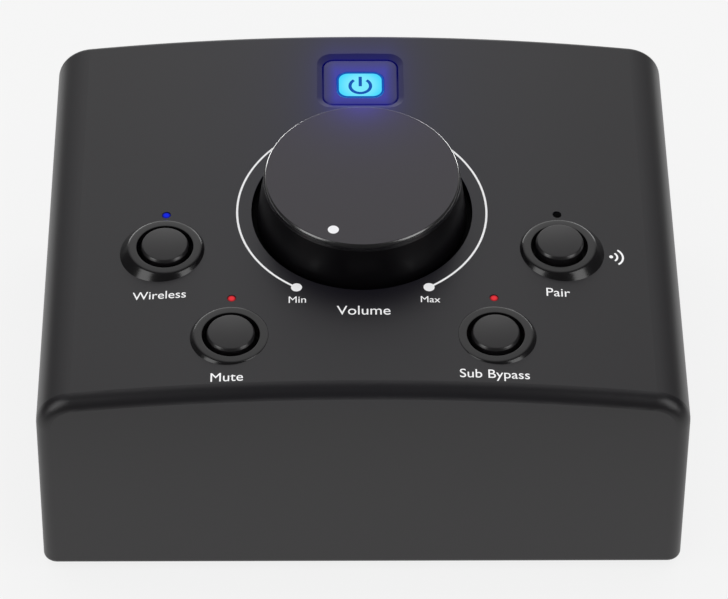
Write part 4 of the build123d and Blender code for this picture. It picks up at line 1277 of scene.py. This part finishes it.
@dataclass
class PowerButton:
    """The lit power button: rounded frame, glowing window and a power sign in it."""

    panel: Panel
    corner: float = 2.5 * MM
    window_corner: float = 2.6 * MM
    edge: float = 0.35 * MM
    edge_steps: int = 6
    flange: float = 1.0 * MM
    flange_top: float = -2.8 * MM
    flange_low: float = -3.6 * MM
    wall_lip: float = 0.12 * MM
    wall_gap: float = 0.01 * MM
    lens_drop: float = 0.03 * MM
    lens_gap: float = 0.02 * MM
    lens_foot_gap: float = 0.05 * MM
    lens_edge: float = 0.15 * MM
    sign_radius: float = 2.35 * MM
    sign_line: float = 0.75 * MM
    sign_gap: float = 38.0
    sign_shift: float = -0.35 * MM
    sign_steps: int = 60
    bar: tuple[float, float] = (-0.1 * MM, 3.0 * MM)
    mark_depths: tuple[float, float] = (0.1 * MM, 0.005 * MM)
    border: float = 0.5 * MM
    body: str = "power_push"

    def __post_init__(self) -> None:
        """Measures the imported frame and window."""
        _, y = self.panel.centre("power_button")
        self.place = self.panel.crest.moved(y=y)
        self.low, self.high = self.place.extent("power_button")
        self.lens_low, self.lens_high = self.place.extent("power_lens")
        self.middle = (self.lens_low + self.lens_high)[:2] / 2

    def window_loop(self, grow: float = 0.0) -> np.ndarray:
        """Outline of the window, moved out by grow."""
        width, length, _ = self.lens_high - self.lens_low + 2 * grow
        return rounded_loop(width, length, self.window_corner + grow) + self.middle

    def frame_loop(self, grow: float = 0.0) -> np.ndarray:
        """Outline of the frame above its flange, moved out by grow."""
        width, length, _ = self.high - self.low - 2 * self.flange + 2 * grow
        return rounded_loop(width, length, self.corner + grow)

    def make_frame(self) -> bpy.types.Object:
        """Frame as a closed ring of loops: flange, side, rounded edge, face and window wall.

        Returns:
            The frame.
        """
        top, low = self.high[2], self.low[2]
        side, flange = self.frame_loop(), self.frame_loop(self.flange)
        wall = self.window_loop(self.wall_gap)
        loops = [(side, low), (side, self.flange_low), (flange, self.flange_low),
                 (flange, self.flange_top), (side, self.flange_top)]
        for across, up in units(np.linspace(0, math.pi / 2, self.edge_steps)):
            loops.append((self.frame_loop(self.edge * (across - 1)), top - self.edge * (1 - up)))
        loops += [(self.window_loop(self.wall_lip), top), (wall, top - self.wall_lip), (wall, low)]
        grid = self.place.out(stacked(loops))
        return Skin().grid(grid, closed_rows=True).build("power_frame_ring", crease=30.0)

    def make_window(self) -> bpy.types.Object:
        """Window block with a soft edge.

        Returns:
            The block.
        """
        top = self.lens_high[2] - self.lens_drop
        loops = [
            (self.window_loop(-self.lens_foot_gap), self.lens_low[2]),
            (self.window_loop(-self.lens_gap), top - self.lens_edge),
            (self.window_loop(-self.lens_edge), top),
        ]
        return Skin().solid(self.place.out(stacked(loops))).build("power_window_block", crease=30.0)

    def make_sign(self) -> bpy.types.Object:
        """Power sign, an open ring and an upright bar, and a line round the window, as thin strips.

        Returns:
            The sign with its border.
        """
        low, high = (self.lens_high[2] - depth for depth in self.mark_depths)
        gap = math.radians(self.sign_gap)
        ring = units(np.linspace(math.pi / 2 + gap, math.pi * 2.5 - gap, self.sign_steps))
        bar, side = np.array([(0.0, end) for end in self.bar]), np.array([(1.0, 0.0)] * 2)
        skin = Skin()
        for path, across in ((ring * self.sign_radius, ring), (bar, side)):
            path = path + self.middle + [0, self.sign_shift]
            skin.grid(self.place.out(strip_rows(path, across * self.sign_line / 2, low, high)))
        outer, inner = self.window_loop(), self.window_loop(-self.border)
        border = stacked([(outer, low), (outer, high), (inner, high), (inner, low)])
        return skin.grid(self.place.out(border), closed_rows=True).build("power_sign", crease=30.0)

    def build(self, shop: Workshop) -> None:
        """Makes and dresses the button's pieces.

        Args:
            shop: the finishes.
        """
        shop.dress(self.make_frame(), "power_frame", self.body, "power_button")
        shop.dress(self.make_window(), "power_lens", self.body, "power_lens")
        shop.attach(self.make_sign(), shop.stroke.make(), "power_lens", self.body)


@dataclass
class ReturnSpring:
    """Coil spring under a button, from the case up to the button."""

    panel: Panel
    node: str
    button: str
    turns: float = 3.5
    closing: float = 0.5
    wire: float = 0.22 * MM
    steps: int = 168
    sides: int = 12

    def __post_init__(self) -> None:
        """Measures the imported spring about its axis."""
        self.place = self.panel.crest.moved(*self.panel.centre(self.node))
        self.low, self.high = self.place.extent(self.node)

    def rows(self) -> np.ndarray:
        """Circles of the wire along the coil.

        The height rises with share - closing * sin(2 pi share) / (2 pi), so the end coils lie
        closer. Each circle lies across the wire: in the radius and in the normal to both.

        Returns:
            Grid of points in the part's frame.
        """
        coil = self.high[0] - self.wire
        rise = self.high[2] - self.low[2] - 2 * self.wire
        share = np.linspace(0, 1, self.steps)[:, None]
        turn, wave = 2 * math.pi * self.turns * share, 2 * math.pi * share
        done = share - self.closing * np.sin(wave) / (2 * math.pi)
        climb = rise * (1 - self.closing * np.cos(wave)) / (2 * math.pi * self.turns * coil)
        radial = np.hstack([np.cos(turn), np.sin(turn), 0 * turn])
        ahead = np.hstack([-np.sin(turn), np.cos(turn), climb])
        across = np.cross(radial, ahead / np.linalg.norm(ahead, axis=1, keepdims=True))
        angle = directions(self.sides)[:, None]
        circle = radial[:, None] * np.cos(angle) + across[:, None] * np.sin(angle)
        middle = coil * radial + (self.low[2] + self.wire + rise * done) * np.array([0, 0, 1])
        return self.place.out(middle[:, None] + self.wire * circle)

    def build(self, shop: Workshop) -> None:
        """Makes and dresses the spring.

        Args:
            shop: the finishes.
        """
        piece = Skin().solid(self.rows()).build(f"{self.node}_coil", crease=40.0)
        piece.data.materials.append(shop.material("spring_steel"))
        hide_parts(self.node)
        foot, head = (self.place.moved(z=corner[2]).origin for corner in (self.low, self.high))
        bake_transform(piece)
        LOG.info("made %s between case and %s", piece.name, self.button)


def pieces_along_x(node: str) -> list[tuple[np.ndarray, np.ndarray]]:
    """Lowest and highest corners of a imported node's pieces that stand side by side.

    The spans of its triangles along x are sorted by their starts; a new piece begins where a span
    starts beyond every end before it.

    Args:
        node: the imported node.

    Returns:
        A pair of corners for each piece, from left to right.
    """
    mesh = frame["nodes"][node].data
    index = np.empty(len(mesh.loops), np.int32)
    mesh.loops.foreach_get("vertex_index", index)
    faces = vertices(mesh)[index.reshape(-1, 3)]
    start, end = faces[..., 0].min(axis=1), faces[..., 0].max(axis=1)
    order = np.argsort(start)
    reached = np.maximum.accumulate(end[order])
    fresh = np.nonzero(start[order][1:] > reached[:-1] + SPAN_GAP)[0] + 1
    groups = (faces[group].reshape(-1, 3) for group in np.split(order, fresh))
    return [(group.min(axis=0), group.max(axis=0)) for group in groups]


@dataclass
class Fittings:
    """Turned and chamfered fittings: the jacks' nuts and washers on the back, and the feet."""

    large_thread: float = 4.7 * MM
    small_thread: float = 3.0 * MM
    large_least: float = 10 * MM
    face_share: float = 0.95
    chamfer_slope: float = 0.55
    chamfer_shares: tuple[float, ...] = (0.0, 0.35, 0.7, 1.0)
    lip: float = 0.2 * MM
    washer_edge: float = 0.12 * MM
    foot_radius: float = 5.0 * MM
    foot_edge: float = 0.7 * MM
    foot_seam: float = 0.1 * MM
    foot_segments: int = 64
    segments: int = 96

    @staticmethod
    def behind(low: np.ndarray, high: np.ndarray) -> Place:
        """Axes at the middle of a fitting's inner face, with z pointing out of the back."""
        middle = np.array([(low[0] + high[0]) / 2, low[1], (low[2] + high[2]) / 2], float)
        return Place(middle, np.array([-1.0, 0, 0]), np.array([0, 0, 1.0]), np.array([0, 1.0, 0]))

    def thread(self, width: float) -> float:
        """Radius of the thread that a fitting of this width goes round."""
        return self.large_thread if width > self.large_least else self.small_thread

    def nut_rows(self, low: np.ndarray, high: np.ndarray) -> np.ndarray:
        """A hexagon nut whose corners are cut back by a cone.

        The outline's radius is half the flats' distance over the cosine of the angle from the
        nearest flat. Beyond the face's circle the height falls by chamfer_slope for each unit.

        Args:
            low: the nut's lowest corner.
            high: its highest corner.

        Returns:
            Closed grid of points in the part's frame.
        """
        width, top, height = floats(high - low)
        flat, bore, sixth = min(width, height) / 2, self.thread(width), math.pi / 3
        first = 0.0 if width < height else sixth / 2
        away = np.mod(directions(self.segments) - first + sixth / 2, sixth) - sixth / 2
        outline, face = flat / np.cos(away), flat * self.face_share
        rows: list[tuple[Any, Any]] = [(bore, 0), (bore, top - self.lip), (bore + self.lip, top)]
        for share in self.chamfer_shares:
            radius = face + (outline - face) * share
            rows.append((radius, top - self.chamfer_slope * (radius - face)))
        return self.behind(low, high).out(turned([*rows, (outline, 0)], self.segments))

    def washer_rows(self, low: np.ndarray, high: np.ndarray) -> np.ndarray:
        """A washer with rolled edges.

        Args:
            low: the washer's lowest corner.
            high: its highest corner.

        Returns:
            Closed grid of points in the part's frame.
        """
        width, top, _ = floats(high - low)
        outer, bore, edge = width / 2, self.thread(width), self.washer_edge
        rows = [(bore, 0), (bore, top - edge), (bore + edge, top), (outer - edge, top),
                (outer - KNEE * edge, top - KNEE * edge), (outer, top - edge), (outer, 0)]
        return self.behind(low, high).out(turned(rows, self.segments))

    def foot_rows(self, x: float, y: float, low: float, high: float) -> np.ndarray:
        """A foot with a round lower edge.

        Args:
            x: its middle along x.
            y: its middle along y.
            low: its underside's height.
            high: its upper side's height.

        Returns:
            Grid of points in the part's frame.
        """
        radius = self.foot_radius
        side = [(radius, high, self.foot_seam), (radius, low, self.foot_edge)]
        profile = rounded([(0, high, 0), *side, (0, low, 0)])
        return turned(profile, self.foot_segments) + np.array([x, y, 0.0])

    def build(self, shop: Workshop) -> None:
        """Makes and dresses the fittings.

        Args:
            shop: the finishes.
        """
        nuts, washers, feet = Skin(), Skin(), Skin()
        for corners in pieces_along_x("jack_nuts"):
            nuts.grid(self.nut_rows(*corners), closed_rows=True)
        for corners in pieces_along_x("jack_washers"):
            washers.grid(self.washer_rows(*corners), closed_rows=True)
        for low, high in pieces_along_x("rubber_feet"):
            for y in (low[1] + self.foot_radius, high[1] - self.foot_radius):
                feet.grid(self.foot_rows((low[0] + high[0]) / 2, y, low[2], high[2]))
        shop.dress(nuts.build("jack_nuts_chamfered", crease=25.0), "nickel", "case", "jack_nuts")
        shop.dress(washers.build("jack_washers_rolled", crease=25.0), "nickel", "case", "jack_washers")
        shop.dress(feet.build("rubber_feet_rounded", crease=30.0), "rubber", "case", "rubber_feet")


@dataclass(frozen=True)
class Label:
    """A printed word: its middle and its base line on the panel, and its width."""

    word: str
    x: float
    y: float
    width: float


@dataclass
class Print:
    """White marks on the panel: the volume arc with its end dots, words and the radio sign."""

    panel: Panel
    lift: float = 0.015 * MM
    sink: float = 0.03 * MM
    crease: float = 30.0
    arc_radius: float = 27.61 * MM
    arc_line: float = 0.46 * MM
    arc_steps: int = 220
    end_angle: float = 31.42
    dot_radius: float = 1.2 * MM
    dot_lift: float = 0.0225 * MM
    dot_segments: int = 40
    wave_line: float = 0.44 * MM
    wave_radii: tuple[float, ...] = (1.35 * MM, 2.6 * MM)
    wave_angle: float = 55.0
    wave_steps: int = 24
    wave_place: tuple[float, float] = (54.75 * MM, -12.2 * MM)
    type_thickness: float = 0.01
    type_steps: int = 5
    labels: tuple[Label, ...] = (
        Label("Volume", 0.13 * MM, -31.75 * MM, 11.57 * MM),
        Label("Min", -14.2 * MM, -28.1 * MM, 3.75 * MM),
        Label("Max", 14.65 * MM, -28.0 * MM, 4.23 * MM),
        Label("Wireless", -44.2 * MM, -25.4 * MM, 11.6 * MM),
        Label("Pair", 42.52 * MM, -25.0 * MM, 5.14 * MM),
        Label("Mute", -29.13 * MM, -50.15 * MM, 6.92 * MM),
        Label("Sub Bypass", 27.9 * MM, -49.45 * MM, 14.91 * MM),
    )

    def line(self, path: np.ndarray, half: np.ndarray) -> np.ndarray:
        """Grid of a printed line along a path, with half its width at each point of the path."""
        return self.panel.over(strip_rows(path, half, -self.sink, self.lift))

    def dot(self, middle: np.ndarray, radius: float) -> np.ndarray:
        """Two stacked circles that make a printed dot."""
        circle = middle + radius * units(directions(self.dot_segments))
        return self.panel.over(stacked([(circle, -self.sink), (circle, self.dot_lift)]))

    def make_arc(self) -> bpy.types.Object:
        """Arc about the knob, open toward the front, with a round dot at each end.

        Returns:
            The printed arc.
        """
        end = math.radians(self.end_angle)
        out = units(np.linspace(end - math.pi / 2, 1.5 * math.pi - end, self.arc_steps))
        path = out * self.arc_radius
        skin = Skin().grid(self.line(path, out * self.arc_line / 2))
        for middle in path[[0, -1]]:
            skin.solid(self.dot(middle, self.dot_radius))
        return skin.build("printed_volume_arc", self.crease)

    def make_waves(self) -> bpy.types.Object:
        """Radio waves: a dot and two arcs to the right of it.

        Returns:
            The printed sign.
        """
        middle, angle = np.array(self.wave_place), math.radians(self.wave_angle)
        out = units(np.linspace(-angle, angle, self.wave_steps))
        skin = Skin().solid(self.dot(middle, self.wave_line))
        for radius in self.wave_radii:
            skin.grid(self.line(middle + out * radius, out * self.wave_line / 2))
        return skin.build("printed_radio_waves", self.crease)

    def make_word(self, label: Label) -> bpy.types.Object:
        """A word in the plain built-in type, fitted to its width and laid on the arch.

        Args:
            label: the word, its place and its width.

        Returns:
            The printed word.
        """
        curve = bpy.data.curves.new(f"type_{label.word}", "FONT")
        curve.body, curve.extrude, curve.resolution_u = label.word, self.type_thickness, self.type_steps
        holder = linked(curve.name, curve)
        depsgraph = bpy.context.evaluated_depsgraph_get()
        mesh = bpy.data.meshes.new_from_object(holder.evaluated_get(depsgraph))
        bpy.data.objects.remove(holder)
        points = vertices(mesh).astype(float)
        low, high = points.min(axis=0), points.max(axis=0)
        scale = label.width / (high[0] - low[0])
        flat = (points[:, :2] - [(low[0] + high[0]) / 2, 0.0]) * scale + [label.x, label.y]
        lift = np.where(points[:, 2] > 0, self.lift, -self.sink)
        laid = self.panel.over(np.column_stack([flat, lift]))
        mesh.vertices.foreach_set("co", laid.astype(np.float32).ravel())
        return finished_object(f"printed_{label.word.lower().replace(' ', '_')}", mesh, self.crease)

    def build(self, shop: Workshop) -> None:
        """Makes and dresses the marks.

        Args:
            shop: the finishes.
        """
        ink = shop.ink.make()
        words = (self.make_word(label) for label in self.labels)
        for piece in [self.make_arc(), self.make_waves(), *words]:
            shop.attach(piece, ink, "pointer_white", "case")


# ---------------------------------------------------------------- light and camera
@dataclass(frozen=True)
class Softboxes:
    """Two area lamps one metre from the part, left and right of it, only seen in reflections.

    Their azimuth is measured from the front toward each side, and their elevation from the table.
    """

    name: str
    azimuth: float
    elevation: float
    width: float
    height: float
    energy: float


@dataclass
class Studio:
    """Pale floor, even soft light and the camera."""

    background: float = 0.922
    ambient: float = 0.91
    screen: tuple[float, float, float] = (-0.06, 0.94, 0.34)
    screen_edge: float = -0.1
    screen_middle: float = 0.95
    screen_level: float = 0.76
    screen_narrowing: float = 0.8
    core_edge: float = 0.80
    core_level: float = 0.70
    room: float = 0.07
    sun_energy: float = 0.35
    sun_spread: float = 120.0
    sun_turn: tuple[float, float, float] = (-12.0, 5.0, 0.0)
    softboxes: Softboxes = Softboxes("softbox", 53.0, 26.0, 0.46, 0.80, 2.7)
    rim_lights: Softboxes = Softboxes("rim_light", 154.0, 12.0, 0.46, 0.40, 7.5)
    collar_lights: Softboxes = Softboxes("collar_light", 154.0, 12.0, 0.46, 0.40, 1.3)
    aim_height: float = 30 * MM
    haze_energy: float = 0.0225
    haze_colour: Colour = (0.08, 0.05, 1.0)
    haze_place: tuple[float, float, float] = (0.0, -16.6 * MM, 18 * MM)
    table_radius: float = 0.42
    table_back: float = 0.27
    table_span: tuple[float, float] = (-2 * MM, -0.01 * MM)
    table_segments: int = 96
    table_evenness: float = 0.9
    table_cloud: float = 60 * MM
    table_cloud_shade: float = 0.998
    camera_place: tuple[float, float, float] = (-9.096 * MM, -618.846 * MM, 593.919 * MM)
    yaw: float = 0.90465
    pitch: float = 42.28949
    roll: float = 0.51112
    lens: float = 182.415
    sensor: float = 36.0
    clip: tuple[float, float] = (0.01, 20.0)

    def make_world(self) -> None:
        """White sky for the camera, even light for the surfaces, and a room for reflections.

        The room has a large pale screen behind the part, brightest in its middle, and is dark in
        front and above.
        """
        world = bpy.data.worlds.new("studio")
        world.use_nodes = True
        world.cycles.sampling_method = "NONE"
        bpy.context.scene.world = world
        graph = Graph(world.node_tree)
        way = graph.add("ShaderNodeTexCoord", {}, "Generated")
        side, _, _ = way.axes()
        dot = graph.vector_maths("DOT_PRODUCT", way, self.screen)
        toward = dot - self.screen_narrowing * (side * side)
        lit = toward.rising(self.screen_edge, self.screen_middle) * self.screen_level
        glossy = lit + toward.rising(self.core_edge, 1.0) * self.core_level + self.room
        shown, mirrored = graph.rays("Camera", "Transmission"), graph.rays("Glossy")
        rest = (1 - shown) * (mirrored * glossy + (1 - mirrored) * self.ambient)
        inputs = {"Color": (1, 1, 1, 1), "Strength": shown * self.background + rest}
        graph.show("ShaderNodeOutputWorld", graph.add("ShaderNodeBackground", inputs))

    @staticmethod
    def lamp(name: str, kind: str, energy: float) -> bpy.types.Object:
        """A lamp that the camera doesn't see.

        Args:
            name: its name.
            kind: the kind of light.
            energy: its strength, in watts, or in watts per square metre for a sun.

        Returns:
            The lamp.
        """
        lamp = linked(name, bpy.data.lights.new(name, kind))
        lamp.data.energy = energy
        lamp.visible_camera = False
        return lamp

    @staticmethod
    def limit(lamp: bpy.types.Object, piece: bpy.types.Object) -> None:
        """Lets a lamp light one piece only.

        Args:
            lamp: the lamp.
            piece: the piece.
        """
        lit = bpy.data.collections.new(f"lit_by_{lamp.name}")
        lit.objects.link(piece)
        lamp.light_linking.receiver_collection = lit

    def make_pair(self, pair: Softboxes, piece: bpy.types.Object | None = None) -> None:
        """Places two softboxes with their faces to the part.

        Args:
            pair: their size, direction and strength.
            piece: the only piece that they light, or None where they light all.
        """
        for word, side in (("left", -1), ("right", 1)):
            box = self.lamp(f"{pair.name}_{word}", "AREA", pair.energy)
            box.data.shape = "RECTANGLE"
            box.data.size, box.data.size_y = pair.width, pair.height
            azimuth, elevation = math.radians(side * pair.azimuth), math.radians(pair.elevation)
            level = math.cos(elevation)
            way = Vector((math.sin(azimuth) * level, -math.cos(azimuth) * level, math.sin(elevation)))
            box.location = way + Vector((0, 0, self.aim_height))
            box.rotation_euler = way.to_track_quat("Z", "Y").to_euler()
            box.visible_diffuse = box.visible_transmission = False
            if piece is not None:
                self.limit(box, piece)

    def make_lamps(self, rim: bpy.types.Object, collars: bpy.types.Object) -> None:
        """A very wide soft sun that only lights surfaces evenly, and the pairs of softboxes.

        The sun stands above and behind the part, one pair in front of it, and behind it a pair
        for the knob's rim and a pair for the collars' edges.

        Args:
            rim: the ring round the knob's disc.
            collars: the rings round the buttons.
        """
        sun = self.lamp("soft_ceiling", "SUN", self.sun_energy)
        sun.data.angle = math.radians(self.sun_spread)
        sun.rotation_euler = [math.radians(angle) for angle in self.sun_turn]
        sun.visible_glossy = False
        self.make_pair(self.softboxes)
        self.make_pair(self.rim_lights, rim)
        self.make_pair(self.collar_lights, collars)

    def make_glow(self, window: Place, disc: bpy.types.Object) -> None:
        """Blue light of the power window on the knob's disc, which it reaches as haze.

        Args:
            window: the middle of the lit window.
            disc: the knob's disc, the only piece that this lamp lights.
        """
        lamp = self.lamp("window_haze", "POINT", self.haze_energy)
        lamp.data.color = self.haze_colour
        lamp.location = window.out(np.array(self.haze_place))
        lamp.visible_glossy = False
        self.limit(lamp, disc)

    def make_table(self) -> None:
        """Round white table top that the part stands on.

        Seen directly or in a reflection it is mostly even, like the background, and keeps a faint
        shadow.
        """
        rim = units(directions(self.table_segments)) * self.table_radius + [0, self.table_back]
        table = Skin().solid(stacked([(rim, height) for height in self.table_span]))
        piece = table.build("table_top", crease=30.0)
        graph = Painted("table_white")
        white, darker = ((self.background * share,) * 3 for share in (1.0, self.table_cloud_shade))
        tint = graph.blend(graph.noise(graph.position(), self.table_cloud), darker, white)
        matt = graph.add("ShaderNodeBsdfDiffuse", {"Color": tint})
        even = graph.add("ShaderNodeEmission", {"Color": tint, "Strength": 1.0})
        seen = graph.rays("Camera", "Glossy", "Transmission") * self.table_evenness
        piece.data.materials.append(graph.finished(graph.mixed(seen, matt, even)))

    def make_camera(self) -> None:
        """Camera that looks down on the part, turned by yaw, pitch and roll."""
        yaw, pitch, roll = (math.radians(angle) for angle in (self.yaw, self.pitch, self.roll))
        level = math.cos(pitch)
        ahead = Vector((math.sin(yaw) * level, math.cos(yaw) * level, -math.sin(pitch)))
        side = ahead.cross(Vector((0, 0, 1))).normalized()
        above = side.cross(ahead)
        right = side * math.cos(roll) + above * math.sin(roll)
        up = above * math.cos(roll) - side * math.sin(roll)
        data = bpy.data.cameras.new("camera")
        data.lens, data.sensor_width = self.lens, self.sensor
        data.clip_start, data.clip_end = self.clip
        camera = linked("camera", data)
        axes = Matrix((right, up, -ahead)).transposed().to_4x4()
        camera.matrix_world = Matrix.Translation(self.camera_place) @ axes
        bpy.context.scene.camera = camera
        bpy.context.scene.view_settings.view_transform = "Standard"

    def build(self, window: Place, disc: bpy.types.Object, rim: bpy.types.Object,
              collars: bpy.types.Object) -> None:
        """Makes the light, the floor and the camera.

        Args:
            window: the middle of the lit power window.
            disc: the knob's disc.
            rim: the ring round the disc.
            collars: the rings round the buttons.
        """
        self.make_world()
        self.make_lamps(rim, collars)
        self.make_glow(window, disc)
        self.make_table()
        self.make_camera()


def main() -> None:
    """Builds and dresses the part."""
    logging.basicConfig(level=logging.INFO, format="%(name)s: %(message)s")
    panel = Panel()
    shop = Workshop(panel)
    shop.dress_nodes()
    disc, rim = VolumeKnob(panel).build(shop)
    collars = ButtonRow(panel).build(shop)
    PowerButton(panel).build(shop)
    for name in ROUND_BUTTONS:
        ReturnSpring(panel, f"{name}_spring", f"{name}_button").build(shop)
    ReturnSpring(panel, "power_spring", "power_push").build(shop)
    Fittings().build(shop)
    Print(panel).build(shop)
    Studio().build(shop.window, disc, rim, collars)


if __name__ == "__main__":
    main()
